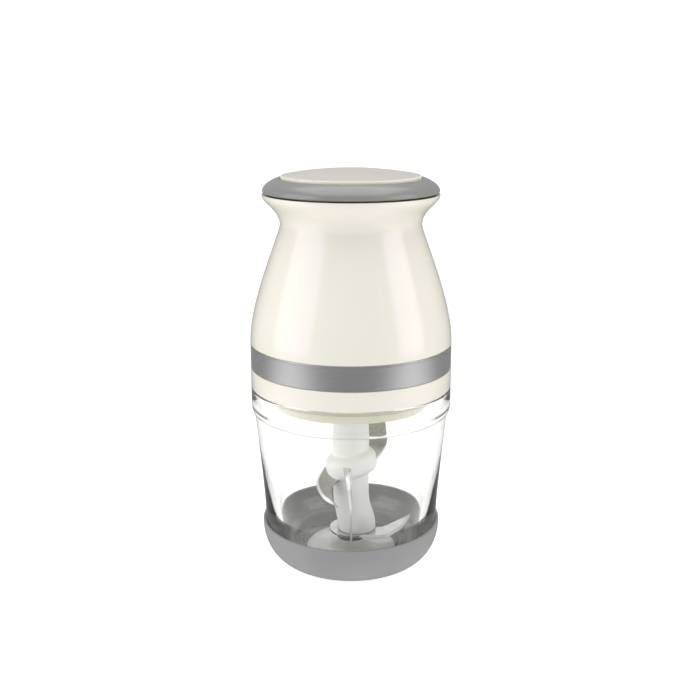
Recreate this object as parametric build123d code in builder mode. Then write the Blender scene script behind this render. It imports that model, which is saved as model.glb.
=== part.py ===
from build123d import *
import os
from math import acos, cos, pi, radians, sin, sqrt, tan

# A cordless mini food processor: a glass bowl in a grey boot, a four-armed blade on a steel
# pin, and a drive head that stands on the bowl's rim and runs while its top button is pressed.
# Millimetres. +Z is up, the front faces -Y, and the origin is the middle of the boot's underside.

# --- Boot ----------------------------------------------------------------------------------------
boot_flat_radius = 30.0      # flat underside
boot_bulge = 15.8            # how far the side stands out beyond the flat underside
boot_curve_height = 20.0     # height at which the side has turned upright
boot_height = 22.0
boot_wall = 1.3              # at the rim
boot_floor = 3.0
boot_opening = boot_flat_radius - 5.5# radius of the open middle under the glass

# --- Glass bowl ----------------------------------------------------------------------------------
bowl_gap = 0.4               # between glass and boot
foot_radius = boot_flat_radius - 2.0# ring that the glass stands on
foot_width = 2.5
punt_depth = 1.2             # hollow under the glass, inside the foot ring
bowl_rim = 94.0              # height of the rim above the table
bowl_top_radius = boot_flat_radius + boot_bulge + 3.1# outside, just under the lip
lip_radius = bowl_top_radius + 1.5
lip_depth = 13.6             # from the rim down to the lip's lower edge
bowl_floor = boot_floor + 6.0# height of the inner floor
inner_floor_radius = boot_flat_radius - 1.0
inner_low_radius = boot_flat_radius + 7.0# inside, where the floor's curve meets the wall
inner_low_height = bowl_floor + 11.0
inner_top_radius = bowl_top_radius - 5.0
boss_radius = 7.0            # glass boss that holds the pin
boss_height = 3.2

# --- Blade pin, washer and hub -------------------------------------------------------------------
pin_radius = 2.0
pin_depth = 5.0              # how deep the pin sits in the boss and floor
running_gap = 0.05           # radial, for shafts and pins that turn or slide
washer_radius = pin_radius + 3.0
washer_thickness = 0.8
blade_thickness = 1.2
hub_foot_radius = 10.2
hub_foot_shift = 3.0         # the foot stands off centre, over the root of the low arm
hub_foot_height = 1.5
hub_radius = 9.3
hub_taper_height = 18.0      # from the foot to the column
hub_top = bowl_rim - 1.0
collar_radius_hub = 13.6
collar_thickness = 13.0
collar_lean = 15.6           # degrees, down to the left
collar_rounding = 4.0
upper_blade_pitch = 31.0     # degrees, down to the front
clamp_ring_radius = 11.5     # middle of the lower blade
lower_arm_rise = 4.0

# --- Drive head shell ----------------------------------------------------------------------------
band_low = bowl_rim + 9.8
band_high = band_low + 12.4
band_thickness = 0.6
shell_radius = lip_radius - 0.1# at the band
shell_wall = 2.5
belly_rise = 20.5            # how far up the side stays upright before it leans in
waist_height = band_high + 58.4
waist_radius = shell_radius - 15.6
waist_tension = 3.8
flare_height = waist_height + 14.8
flare_radius = waist_radius + 8.5
spigot_depth = 4.8           # collar spigot inside the housing
spigot_wall = 2.0
spigot_gap = 0.7             # radial, between the spigot and the housing's lower end
collar_floor = 3.0
plug_low = bowl_rim - 8.5
plug_step_height = 2.8
plug_step_radius = inner_top_radius - 2.3
plug_radius = plug_step_radius - 1.6
plug_wall = 2.0
well_radius = hub_radius + 3.2# the hub's top stands in this well
well_ceiling_gap = 2.0       # above the hub
well_ceiling = 2.8
seal_height = 2.4
seal_radius = inner_top_radius - 0.6
seal_groove = 1.4
shell_screw_circle = 34.5

# --- Button, bezel and switch --------------------------------------------------------------------
button_travel = 2.5
button_radius = flare_radius - 9.1
bezel_lip = flare_height + 7.2
button_edge = bezel_lip + 1.4 # the disc's rim stands proud of the bezel
button_crown = 3.2
button_wall = 1.8
button_skirt = 7.5
button_gap = 0.3
bezel_gap = 0.5              # dark line between bezel and housing
bezel_radius = flare_radius - 0.2
bezel_web = flare_height - 4.4
bezel_web_thickness = 2.0
bezel_skirt_radius = flare_radius - 6.2
stem_radius = 5.0
guide_wall = 2.0
guide_low = bezel_web - 7.9
guide_high = bezel_web + 6.0
clip_thickness = 1.0
clip_radius = stem_radius + 1.6
clip_groove = 0.8
stem_low = guide_low - 6.1
spring_wire = 1.1
spring_radius = stem_radius + guide_wall + 1.6
spring_turns = 4
bezel_screw_circle = 28.0

# --- Gears: three planets between a sun and a ring -----------------------------------------------
gear_module = 0.6
sun_teeth = 12
planet_teeth = 18
ring_teeth = sun_teeth + 2 * planet_teeth
pressure_angle = radians(25)
backlash = 0.10              # taken off each tooth's thickness at the pitch circle
gear_width = 6.2

# --- Gearbox and motor ---------------------------------------------------------------------------
gearbox_low = bowl_rim + collar_floor + 1.0
gearbox_floor = 2.5
gearbox_radius = 18.0
carrier_gap = 0.9
carrier_thickness = 1.6
carrier_radius = 13.0
gear_gap = 0.3
planet_pin_radius = 1.5
output_shaft_radius = 2.5
output_bush_radius = output_shaft_radius + 2.5
coupling_flats = 10.0        # across the hexagon
coupling_length = 10.0
coupling_gap = 0.15
gearbox_cover_thickness = 2.0
motor_radius = 14.0
motor_length = 36.0
motor_wall = 1.2
motor_boss_radius = 4.5
motor_boss_length = 1.5
motor_shaft_radius = 1.2
rotor_radius = 10.4
magnet_thickness = 1.7
end_cap_thickness = 3.0

# --- Chassis, cells, boards ----------------------------------------------------------------------
chassis_thickness = 3.0
chassis_radius = shell_radius - shell_wall - 3.0
cell_radius = 9.1
cell_length = 50.0
cell_centre = 29.5
cell_cup_wall = 1.5
cell_cup_height = 12.0
post_centre = 24.0
post_width = 8.0
post_depth = 4.0
board_height = band_high + 41.8
board_radius = 27.0
board_thickness = 1.6
switch_side = 13.0
switch_height = 7.9
switch_plunger_radius = 2.0
port_height = band_high + 7.8# middle of the charging socket
port_width = 8.9
port_tall = 3.2
port_depth = 7.3
port_board_thickness = 1.2
flap_width = port_width + 6.7
flap_low = port_height - 4.1
flap_high = port_height + 4.3
flap_inner = shell_radius - 1.7
flap_outer = shell_radius - 0.3
flap_gap = 0.3
flap_swing = 1.3             # extra room under the flap for it to turn
lens_radius = 1.2
lens_offset = 13.0

# --- Screws --------------------------------------------------------------------------------------
shell_screw_radius = 1.4
small_screw_radius = 1.0
screw_clearance = 0.3

# --- Heights and radii that follow from the sizes above ------------------------------------------
boot_radius = boot_flat_radius + boot_bulge
glass_low_radius = boot_radius - boot_wall - bowl_gap
glass_curve = glass_low_radius - boot_flat_radius
lip_low = bowl_rim - lip_depth
boss_top = bowl_floor + boss_height
lower_blade_low = boss_top + washer_thickness
hub_low = lower_blade_low + blade_thickness
pin_top = hub_low + 27.8
collar_centre = hub_low + 38.3    # height of the thick collar that holds the upper blade
collar_top = bowl_rim + collar_floor
chassis_top = collar_top + chassis_thickness
well_ceiling_low = hub_top + well_ceiling_gap
well_ceiling_top = well_ceiling_low + well_ceiling
sleeve_radius = shell_radius - band_thickness - 0.05
shell_inner = shell_radius - shell_wall
spigot_radius = shell_inner - spigot_gap
carrier_low = gearbox_low + gearbox_floor + carrier_gap
gear_low = carrier_low + carrier_thickness + gear_gap
gear_high = gear_low + gear_width
gearbox_high = gear_high + 1.5
cover_high = gearbox_high + gearbox_cover_thickness
motor_high = cover_high + motor_length
end_cap_high = motor_high + end_cap_thickness
orbit_radius = gear_module * (sun_teeth + planet_teeth) / 2
button_sphere = (button_radius ** 2 + button_crown ** 2) / (2 * button_crown)
web_top = bezel_web + bezel_web_thickness
ON_FLOOR = (Align.CENTER, Align.CENTER, Align.MIN)

os.makedirs("parts", exist_ok=True)


def save(solid, name):
    """Label a finished piece and write it to its own file."""
    solid.label = name
    export_step(solid, f"parts/{name}.step")


def turned(*outline, mode=Mode.ADD):
    """Revolve a closed outline of (radius, height) corners about the upright axis."""
    with BuildSketch(Plane.XZ) as section:
        with BuildLine():
            Polyline(*outline, close=True)
        make_face()
    revolve(section.sketch, axis=Axis.Z, mode=mode)


def rod(radius, low, high, x=0.0, y=0.0, mode=Mode.ADD):
    """Add or cut an upright cylinder between two heights."""
    with Locations((x, y, low)):
        Cylinder(radius, high - low, align=ON_FLOOR, mode=mode)


def block(width, depth, low, high, x=0.0, y=0.0, mode=Mode.ADD):
    """Add or cut an upright block between two heights."""
    with Locations((x, y, low)):
        Box(width, depth, high - low, align=ON_FLOOR, mode=mode)


def ring_of(count, radius, first=0.0):
    """Give the (x, y) places of items spaced evenly on a circle."""
    step = 2 * pi / count
    start = radians(first)
    return [(radius * cos(start + step * i), radius * sin(start + step * i)) for i in range(count)]


def screws(places, shank_radius, head_low, tip, head_up):
    """Upright pan-head screws with a cross recess; the head points up or down."""
    head_height = 1.4 * shank_radius
    head_end = head_low + head_height if head_up else head_low - head_height
    slot = 0.45 * shank_radius
    with BuildPart() as group:
        for x, y in places:
            rod(shank_radius, min(tip, head_low), max(tip, head_low), x, y)
            rod(1.85 * shank_radius, min(head_low, head_end), max(head_low, head_end), x, y)
            low = head_end - slot if head_up else head_end
            for width, depth in ((2.2, 0.5), (0.5, 2.2)):
                block(width * shank_radius, depth * shank_radius, low, low + slot, x, y, mode=Mode.SUBTRACT)
    return group.part


def involute(angle):
    """Involute function of an angle."""
    return tan(angle) - angle


def toothed_face(teeth, low, high, extra, first):
    """Face of a spur gear between two radii, added to the current sketch.

    extra is added to each tooth's thickness at the pitch circle, and first is the
    direction, in radians, of the first tooth's middle.
    """
    pitch = gear_module * teeth / 2
    base = pitch * cos(pressure_angle)
    half = pi / (2 * teeth) + extra / (2 * pitch) + involute(pressure_angle)

    def flank(radius, side, middle):
        turn = half - involute(acos(min(1.0, base / radius)))
        return (radius * cos(middle + side * turn), radius * sin(middle + side * turn))

    start = max(low, base * 1.001)
    radii = [start + (high - start) * step / 4 for step in range(5)]
    with BuildLine() as outline:
        for i in range(teeth):
            middle = first + 2 * pi * i / teeth
            following = middle + 2 * pi / teeth
            rising = [flank(r, -1, middle) for r in radii]
            falling = [flank(r, 1, middle) for r in reversed(radii)]
            Spline(*rising)
            Line(rising[-1], falling[0])
            Spline(*falling)
            next_root = flank(start, -1, following)
            if low < start:
                corner = (low / start * falling[-1][0], low / start * falling[-1][1])
                next_corner = (low / start * next_root[0], low / start * next_root[1])
                Polyline(falling[-1], corner, next_corner, next_root)
            else:
                Line(falling[-1], next_root)
    make_face(outline.edges())


# ============================== Boot ==============================================================
with BuildPart() as base_boot:
    with BuildSketch(Plane.XZ):
        with BuildLine():
            Line((boot_opening, 0), (boot_flat_radius, 0))
            EllipticalCenterArc((boot_flat_radius, boot_curve_height), boot_bulge, boot_curve_height,
                                start_angle=270, arc_size=90)
            Line((boot_radius, boot_curve_height), (boot_radius, boot_height))
            Line((boot_radius, boot_height), (boot_radius - boot_wall, boot_height))
            Line((boot_radius - boot_wall, boot_height), (boot_radius - boot_wall, boot_curve_height))
            EllipticalCenterArc((boot_flat_radius, boot_curve_height), boot_bulge - boot_wall,
                                boot_curve_height - boot_floor, start_angle=270, arc_size=90)
            Line((boot_flat_radius, boot_floor), (boot_opening, boot_floor))
            Line((boot_opening, boot_floor), (boot_opening, 0))
        make_face()
    revolve(axis=Axis.Z)
    fillet(base_boot.edges().filter_by(GeomType.CIRCLE).group_by(Axis.Z)[-1], boot_wall * 0.35)
save(base_boot.part, "base_boot")

# ============================== Glass bowl ========================================================
with BuildPart() as glass_bowl:
    with BuildSketch(Plane.XZ):
        with BuildLine():
            foot_low = boot_floor
            body_low = boot_floor + bowl_gap
            side_low = boot_curve_height + bowl_gap
            punt = foot_low + punt_depth
            Polyline((0, punt), (foot_radius - foot_width, punt), (foot_radius - foot_width, foot_low),
                     (foot_radius, foot_low), (foot_radius, body_low), (boot_flat_radius, body_low))
            EllipticalCenterArc((boot_flat_radius, side_low), glass_curve, side_low - body_low,
                                start_angle=270, arc_size=90)
            Bezier((glass_low_radius, side_low), (glass_low_radius + 0.5, side_low + 18),
                   (bowl_top_radius - 2.3, lip_low - 24), (bowl_top_radius, lip_low))
            Bezier((bowl_top_radius, lip_low), (lip_radius - 0.2, lip_low + 0.5),
                   (lip_radius, lip_low + 2.5), (lip_radius, lip_low + 6))
            Line((lip_radius, lip_low + 6), (lip_radius, bowl_rim))
            Polyline((lip_radius, bowl_rim), (inner_top_radius, bowl_rim),
                     (inner_top_radius - 0.1, bowl_rim - 6))
            Bezier((inner_top_radius - 0.1, bowl_rim - 6), (inner_top_radius - 1.2, bowl_rim - 32),
                   (inner_low_radius + 1.8, inner_low_height + 16), (inner_low_radius, inner_low_height))
            Bezier((inner_low_radius, inner_low_height), (inner_low_radius - 0.9, inner_low_height - 7),
                   (inner_low_radius - 1.5, bowl_floor), (inner_floor_radius, bowl_floor))
            Line((inner_floor_radius, bowl_floor), (0, bowl_floor))
            Line((0, bowl_floor), (0, punt))
        make_face()
    revolve(axis=Axis.Z)
    fillet(glass_bowl.edges().filter_by(GeomType.CIRCLE).group_by(Axis.Z)[-1], 0.9)
    rod(boss_radius, bowl_floor - 1, boss_top)
    rod(pin_radius, boss_top - pin_depth, boss_top, mode=Mode.SUBTRACT)
save(glass_bowl.part, "glass_bowl")

with BuildPart() as blade_pin:
    rod(pin_radius, boss_top - pin_depth, pin_top)
    chamfer(blade_pin.edges().group_by(Axis.Z)[-1], pin_radius * 0.35)
save(blade_pin.part, "blade_pin")

with BuildPart() as thrust_washer:
    rod(washer_radius, boss_top, boss_top + washer_thickness)
    rod(pin_radius + running_gap, boss_top, boss_top + washer_thickness, mode=Mode.SUBTRACT)
save(thrust_washer.part, "thrust_washer")

# ============================== Blades ============================================================
upper_blade_plane = Plane((0, 0, collar_centre)).rotated((upper_blade_pitch, -collar_lean, 0))


def upper_blade_face():
    """Two curved arms in the current sketch: a crescent in front and a blunt arm behind."""
    root = (-12.5, 3.0)
    crescent = [(-18.6, -9.5), (-14.8, -21.0), (-6.5, -28.5)]
    hollow = [(-9.8, -21.5), (-9.4, -14.5), (-5.0, -10.5)]
    blunt = [(18.9, 7.0), (19.4, 18.0), (17.0, 26.0)]
    blunt_hollow = [(9.4, 20.5), (8.4, 14.5), (5.0, 10.5)]
    with BuildLine() as outline:
        Spline(root, *crescent)
        Spline(crescent[-1], *hollow, (-root[0], -root[1]))
        Spline((-root[0], -root[1]), *blunt)
        Spline(blunt[-1], *blunt_hollow, root)
    make_face(outline.edges())


with BuildPart() as upper_blade:
    with BuildSketch(upper_blade_plane):
        upper_blade_face()
    extrude(amount=blade_thickness / 2, both=True)
    rod(pin_radius + 1.5, 0, bowl_rim, mode=Mode.SUBTRACT)
save(upper_blade.part, "upper_blade")

with BuildPart() as lower_blade:
    # The side view gives the plate's rise, and the plan view cuts the ring and the low arm out of it.
    arm_reach = 34.2
    with BuildSketch(Plane.XZ.offset(-20)):
        with BuildLine():
            for height in (lower_blade_low, hub_low):
                Line((-clamp_ring_radius, height), (clamp_ring_radius, height))
                Bezier((clamp_ring_radius, height), (clamp_ring_radius + 9, height),
                       (arm_reach - 8, height + lower_arm_rise / 2), (arm_reach, height + lower_arm_rise))
            for reach, rise in ((-clamp_ring_radius, 0), (arm_reach, lower_arm_rise)):
                Line((reach, lower_blade_low + rise), (reach, hub_low + rise))
        make_face()
    extrude(amount=40)
    with BuildSketch(Plane.XY.offset(lower_blade_low - 1)):
        Circle(clamp_ring_radius)
        with BuildLine():
            Spline((0, -clamp_ring_radius), (17.0, -12.0), (26.0, -6.0), (arm_reach - 0.4, 5.0))
            Spline((arm_reach - 0.4, 5.0), (25.0, 2.6), (13.0, -2.0), (0, clamp_ring_radius))
            Line((0, clamp_ring_radius), (0, -clamp_ring_radius))
        make_face()
    extrude(amount=lower_arm_rise + 4, mode=Mode.INTERSECT)
    # The front arm is folded up on edge.
    with BuildSketch(Plane.YZ.offset(-blade_thickness / 2)):
        with BuildLine():
            low = lower_blade_low
            Spline((-22.0, low), (-28.6, low + 11), (-27.6, low + 29), (-21.5, low + 44))
            Spline((-21.5, low + 44), (-20.4, low + 33), (-18.0, low + 19), (-13.2, low + 4))
            Polyline((-13.2, low + 4), (-13.2, hub_low), (-clamp_ring_radius + 1, hub_low),
                     (-clamp_ring_radius + 1, low), (-22.0, low))
        make_face()
    extrude(amount=blade_thickness)
    rod(pin_radius + 1.5, 0, bowl_rim, mode=Mode.SUBTRACT)
save(lower_blade.part, "lower_blade")

with BuildPart() as blade_hub:
    foot_top = hub_low + hub_foot_height
    taper_top = foot_top + hub_taper_height
    rod(hub_foot_radius, hub_low, foot_top, x=hub_foot_shift)
    with BuildSketch(Plane(origin=(hub_foot_shift, 0, foot_top))):
        Circle(hub_foot_radius)
    with BuildSketch(Plane.XY.offset(taper_top)):
        Circle(hub_radius)
    loft()
    rod(hub_radius, taper_top, hub_top)
    with BuildSketch(Plane((0, 0, collar_centre)).rotated((0, -collar_lean, 0))):
        Circle(collar_radius_hub)
    extrude(amount=collar_thickness / 2, both=True)
    fillet(blade_hub.edges().filter_by(GeomType.CIRCLE).filter_by(
        lambda edge: abs(edge.radius - collar_radius_hub) < 0.01), collar_rounding)
    rod(pin_radius + running_gap, hub_low, pin_top + 1, mode=Mode.SUBTRACT)
    with BuildSketch(Plane.XY.offset(hub_top - coupling_length - 1)):
        RegularPolygon(coupling_flats / 2 + coupling_gap, 6, major_radius=False)
    extrude(amount=coupling_length + 1, mode=Mode.SUBTRACT)
    add(upper_blade.part, mode=Mode.SUBTRACT)
save(blade_hub.part, "blade_hub")

# ============================== Lower end of the head =============================================
shell_screw_places = ring_of(4, shell_screw_circle, first=45)

with BuildPart() as bottom_cover:
    step_low = plug_low + plug_step_height
    groove_low = step_low + 1.5
    turned((0, plug_low), (plug_radius, plug_low), (plug_radius, step_low), (plug_step_radius, step_low),
           (plug_step_radius, groove_low), (plug_step_radius - seal_groove, groove_low),
           (plug_step_radius - seal_groove, groove_low + seal_height),
           (plug_step_radius, groove_low + seal_height), (plug_step_radius, bowl_rim), (0, bowl_rim))
    turned((0, plug_low + plug_wall), (plug_radius - plug_wall, plug_low + plug_wall),
           (plug_radius - plug_wall, bowl_rim), (0, bowl_rim), mode=Mode.SUBTRACT)
    rod(well_radius + plug_wall, plug_low, well_ceiling_top)
    rod(well_radius, plug_low, well_ceiling_low, mode=Mode.SUBTRACT)
    rod(output_bush_radius + 0.5, well_ceiling_low, well_ceiling_top, mode=Mode.SUBTRACT)
    for x, y in shell_screw_places:
        rod(3.4, plug_low, bowl_rim, x, y)
        rod(2.8, plug_low, plug_low + 4.5, x, y, mode=Mode.SUBTRACT)
        rod(shell_screw_radius + screw_clearance, plug_low, bowl_rim, x, y, mode=Mode.SUBTRACT)
save(bottom_cover.part, "bottom_cover")

with BuildPart() as seal_ring:
    seal_inner = plug_step_radius - seal_groove
    turned((seal_inner, groove_low), (seal_radius - 0.8, groove_low), (seal_radius, groove_low + 0.8),
           (seal_radius, groove_low + 1.4), (seal_radius - 0.9, groove_low + seal_height),
           (seal_inner, groove_low + seal_height))
save(seal_ring.part, "seal_ring")

with BuildPart() as lip_seal:
    lip_inner = output_shaft_radius + running_gap
    lip_outer = output_bush_radius + 0.5
    turned((lip_inner, well_ceiling_low + 0.3), (lip_outer, well_ceiling_low + 0.3),
           (lip_outer, well_ceiling_top - 0.2), (lip_inner, well_ceiling_top - 0.2))
save(lip_seal.part, "lip_seal")

with BuildPart() as lower_collar:
    sleeve_inner = spigot_radius - spigot_wall
    turned((plug_radius - plug_wall - 1, bowl_rim), (lip_radius, bowl_rim), (lip_radius, band_low),
           (sleeve_radius, band_low), (sleeve_radius, band_high), (spigot_radius, band_high),
           (spigot_radius, band_high + spigot_depth), (sleeve_inner, band_high + spigot_depth),
           (sleeve_inner, collar_top), (plug_radius - plug_wall - 1, collar_top))
    fillet(lower_collar.edges().filter_by(GeomType.CIRCLE).filter_by(
        lambda edge: abs(edge.radius - lip_radius) < 0.01), 0.4)
save(lower_collar.part, "lower_collar")

with BuildPart() as steel_band:
    turned((sleeve_radius + 0.05, band_low), (shell_radius, band_low), (shell_radius, band_high),
           (sleeve_radius + 0.05, band_high))
save(steel_band.part, "steel_band")

# ============================== Housing ===========================================================
bezel_screw_places = ring_of(3, bezel_screw_circle, first=90)
boss_radius_shell = 3.2
boss_radius_bezel = 3.0

with BuildPart() as motor_housing:
    with BuildSketch(Plane.XZ):
        with BuildLine():
            for inset in (0, shell_wall):
                belly, waist, flare = (r - inset for r in (shell_radius, waist_radius, flare_radius))
                Bezier((belly, band_high), (belly, band_high + belly_rise),
                       (waist, waist_height - waist_tension), (waist, waist_height))
                Bezier((waist, waist_height), (waist, waist_height + 7.35),
                       (flare, flare_height - 4.2), (flare, flare_height))
            Line((shell_radius, band_high), (shell_inner, band_high))
            Line((flare_radius, flare_height), (flare_radius - shell_wall, flare_height))
        make_face()
    revolve(axis=Axis.Z)
    # Bosses for the four long screws hang from ribs above the collar's spigot.
    rib_low = band_high + spigot_depth + 0.8
    rib_high = rib_low + 13
    for angle in (45, 135, 225, 315):
        with Locations(Location((0, 0, 0), (0, 0, angle))):
            with Locations((shell_screw_circle + 5.7, 0, rib_low)):
                Box(11.4, 2.4, rib_high - rib_low, align=ON_FLOOR)
    for x, y in shell_screw_places:
        rod(boss_radius_shell, chassis_top, rib_high, x, y)
        rod(shell_screw_radius, chassis_top, rib_high - 4, x, y, mode=Mode.SUBTRACT)
    # Three bosses under the bezel.
    for angle in (90, 210, 330):
        with Locations(Location((0, 0, 0), (0, 0, angle))):
            with Locations((bezel_screw_circle + 2.6, 0, waist_height - 4)):
                Box(5.2, 2.4, bezel_web - waist_height + 4, align=ON_FLOOR)
    for x, y in bezel_screw_places:
        rod(boss_radius_bezel, waist_height - 4, bezel_web, x, y)
        rod(small_screw_radius, waist_height - 1, bezel_web, x, y, mode=Mode.SUBTRACT)
    # Charging port: a slot through the wall, and the flap's shallow recess round it.
    with Locations((0, shell_radius, port_height)):
        Box(port_width + 0.6, 12, port_tall + 0.6, mode=Mode.SUBTRACT)
    with BuildSketch(Plane.XY.offset(flap_low - flap_swing)):
        Circle(shell_radius + 3)
        Circle(flap_inner - 0.2, mode=Mode.SUBTRACT)
        with Locations((0, shell_radius)):
            Rectangle(flap_width + 2 * flap_gap, 14, mode=Mode.INTERSECT)
    extrude(amount=flap_high - flap_low + flap_swing + 2 * flap_gap, mode=Mode.SUBTRACT)
    with Locations(Location((lens_offset, shell_radius, port_height), (90, 0, 0))):
        Cylinder(lens_radius + running_gap, 16, mode=Mode.SUBTRACT)
save(motor_housing.part, "motor_housing")

with BuildPart() as port_flap:
    with BuildSketch(Plane.XY.offset(flap_low)):
        Circle(flap_outer)
        Circle(flap_inner, mode=Mode.SUBTRACT)
        with Locations((0, shell_radius)):
            Rectangle(flap_width, 14, mode=Mode.INTERSECT)
    extrude(amount=flap_high - flap_low)
    fillet(port_flap.edges().filter_by(Axis.Y), 1.5)
save(port_flap.part, "port_flap")

with BuildPart() as charge_lens:
    with Locations(Location((lens_offset, shell_radius - 5, port_height), (90, 0, 0))):
        Cylinder(lens_radius, 10)
    rod(shell_radius - 0.9, port_height - 4, port_height + 4, mode=Mode.INTERSECT)
save(charge_lens.part, "charge_lens")

# ============================== Bezel, button and switch ==========================================
with BuildPart() as top_bezel:
    bore = button_radius + button_gap
    ring_low = flare_height + bezel_gap
    with BuildSketch(Plane.XZ):
        with BuildLine():
            guide_inner = stem_radius + running_gap
            Polyline((bezel_skirt_radius, ring_low), (bezel_skirt_radius + 4.4, ring_low),
                     (bezel_radius, ring_low + 0.5))
            Bezier((bezel_radius, ring_low + 0.5), (bezel_radius + 0.1, ring_low + 3.2),
                   (bezel_radius - 3.6, bezel_lip - 0.9), (bore + 1.2, bezel_lip + 0.3))
            Polyline((bore + 1.2, bezel_lip + 0.3), (bore, bezel_lip - 0.1), (bore, web_top),
                     (guide_inner + guide_wall, web_top), (guide_inner + guide_wall, guide_high),
                     (guide_inner, guide_high), (guide_inner, guide_low),
                     (guide_inner + guide_wall, guide_low),
                     (guide_inner + guide_wall, bezel_web), (bezel_skirt_radius, bezel_web),
                     (bezel_skirt_radius, ring_low))
        make_face()
    revolve(axis=Axis.Z)
    for x, y in bezel_screw_places:
        rod(small_screw_radius + screw_clearance, bezel_web, web_top, x, y, mode=Mode.SUBTRACT)
save(top_bezel.part, "top_bezel")

with BuildPart() as button_cap:
    sphere_middle = button_edge + button_crown - button_sphere
    with Locations((0, 0, sphere_middle)):
        Sphere(button_sphere)
    rod(button_radius, button_edge - button_skirt, button_edge + button_crown + 1, mode=Mode.INTERSECT)
    with BuildPart(mode=Mode.PRIVATE) as cap_hollow:
        with Locations((0, 0, sphere_middle - button_wall)):
            Sphere(button_sphere)
        rod(button_radius - button_wall, button_edge - button_skirt, button_edge + button_crown,
            mode=Mode.INTERSECT)
    add(cap_hollow.part, mode=Mode.SUBTRACT)
    rod(stem_radius, stem_low, button_edge + button_crown - button_wall / 2)
    clip_high = guide_low - 0.1
    clip_low = clip_high - clip_thickness
    clip_seat = stem_radius - clip_groove
    turned((clip_seat, clip_low), (stem_radius + 1, clip_low), (stem_radius + 1, clip_high),
           (clip_seat, clip_high), mode=Mode.SUBTRACT)
    fillet(button_cap.edges().filter_by(GeomType.CIRCLE).filter_by(
        lambda edge: abs(edge.radius - button_radius) < 0.01).group_by(Axis.Z)[-1], 0.5)
save(button_cap.part, "button_cap")

with BuildPart() as stem_clip:
    rod(clip_radius, clip_low, clip_high)
    rod(clip_seat, clip_low, clip_high, mode=Mode.SUBTRACT)
    block(5.0, clip_radius, clip_low, clip_low + clip_thickness, y=-clip_radius, mode=Mode.SUBTRACT)
save(stem_clip.part, "stem_clip")

with BuildPart() as button_spring:
    dome_inside = sqrt(button_sphere ** 2 - spring_radius ** 2) + sphere_middle - button_wall
    spring_low = web_top + spring_wire / 2 + 0.05
    spring_high = dome_inside - spring_wire / 2 - 0.25
    with BuildLine():
        Helix(pitch=(spring_high - spring_low) / spring_turns, height=spring_high - spring_low,
              radius=spring_radius, center=(0, 0, spring_low))
    with BuildSketch(Plane(origin=(spring_radius, 0, spring_low), z_dir=(0, 1, 0))):
        Circle(spring_wire / 2)
    sweep(is_frenet=True)
save(button_spring.part, "button_spring")

with BuildPart() as micro_switch:
    switch_low = board_height + board_thickness
    block(switch_side, switch_side, switch_low, switch_low + switch_height)
    rod(switch_plunger_radius + running_gap, switch_low + 0.6, switch_low + switch_height, mode=Mode.SUBTRACT)
    chamfer(micro_switch.edges().filter_by(Axis.Z).filter_by(GeomType.LINE), 0.6)
save(micro_switch.part, "micro_switch")

with BuildPart() as switch_plunger:
    rod(switch_plunger_radius, switch_low + 0.6 + button_travel + 0.3, stem_low - 0.05)
    fillet(switch_plunger.edges().group_by(Axis.Z)[-1], 0.5)
save(switch_plunger.part, "switch_plunger")

# ============================== Gearbox ===========================================================
planet_places = ring_of(3, orbit_radius)
lug_places = [(20.5 * cos(radians(a)), 20.5 * sin(radians(a))) for a in (60, 120, 240, 300)]
motor_screw_places = [(0, 9.0), (0, -9.0)]

with BuildPart() as gearbox_housing:
    rod(gearbox_radius, gearbox_low, gearbox_high)
    for x, y in lug_places:
        rod(3.0, chassis_top, chassis_top + 2.5, x, y)
        rod(small_screw_radius + screw_clearance, chassis_top, chassis_top + 2.5, x, y, mode=Mode.SUBTRACT)
    ring_pitch = gear_module * ring_teeth / 2
    rod(ring_pitch + gear_module, gearbox_low + gearbox_floor, gear_low - gear_gap / 2, mode=Mode.SUBTRACT)
    rod(output_bush_radius, gearbox_low, gearbox_high, mode=Mode.SUBTRACT)
    with BuildSketch(Plane.XY.offset(gear_low - gear_gap / 2)):
        toothed_face(ring_teeth, ring_pitch - 0.9 * gear_module, ring_pitch + 1.25 * gear_module,
                        backlash, pi / ring_teeth)
    extrude(amount=gearbox_high - gear_low + gear_gap, mode=Mode.SUBTRACT)
save(gearbox_housing.part, "gearbox_housing")

with BuildPart() as output_bush:
    rod(output_bush_radius, gearbox_low, carrier_low - 0.3)
    rod(output_shaft_radius + running_gap, gearbox_low, carrier_low, mode=Mode.SUBTRACT)
save(output_bush.part, "output_bush")

with BuildPart() as planet_carrier:
    rod(carrier_radius, carrier_low, carrier_low + carrier_thickness)
    rod(output_shaft_radius, carrier_low, carrier_low + carrier_thickness, mode=Mode.SUBTRACT)
    for x, y in planet_places:
        rod(planet_pin_radius, carrier_low, carrier_low + carrier_thickness, x, y, mode=Mode.SUBTRACT)
save(planet_carrier.part, "planet_carrier")

with BuildPart() as planet_pins:
    for x, y in planet_places:
        rod(planet_pin_radius, carrier_low, gear_high + 0.4, x, y)
save(planet_pins.part, "planet_pins")

with BuildPart() as output_shaft:
    rod(output_shaft_radius, hub_top - coupling_length + 0.5, carrier_low + carrier_thickness)
save(output_shaft.part, "output_shaft")

with BuildPart() as drive_coupling:
    with BuildSketch(Plane.XY.offset(hub_top - coupling_length)):
        RegularPolygon(coupling_flats / 2, 6, major_radius=False)
    extrude(amount=coupling_length + well_ceiling_gap - 0.5)
    chamfer(drive_coupling.edges().group_by(Axis.Z)[0], 0.5)
    rod(output_shaft_radius, hub_top - coupling_length + 0.5, bowl_rim + 5, mode=Mode.SUBTRACT)
save(drive_coupling.part, "drive_coupling")

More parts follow.
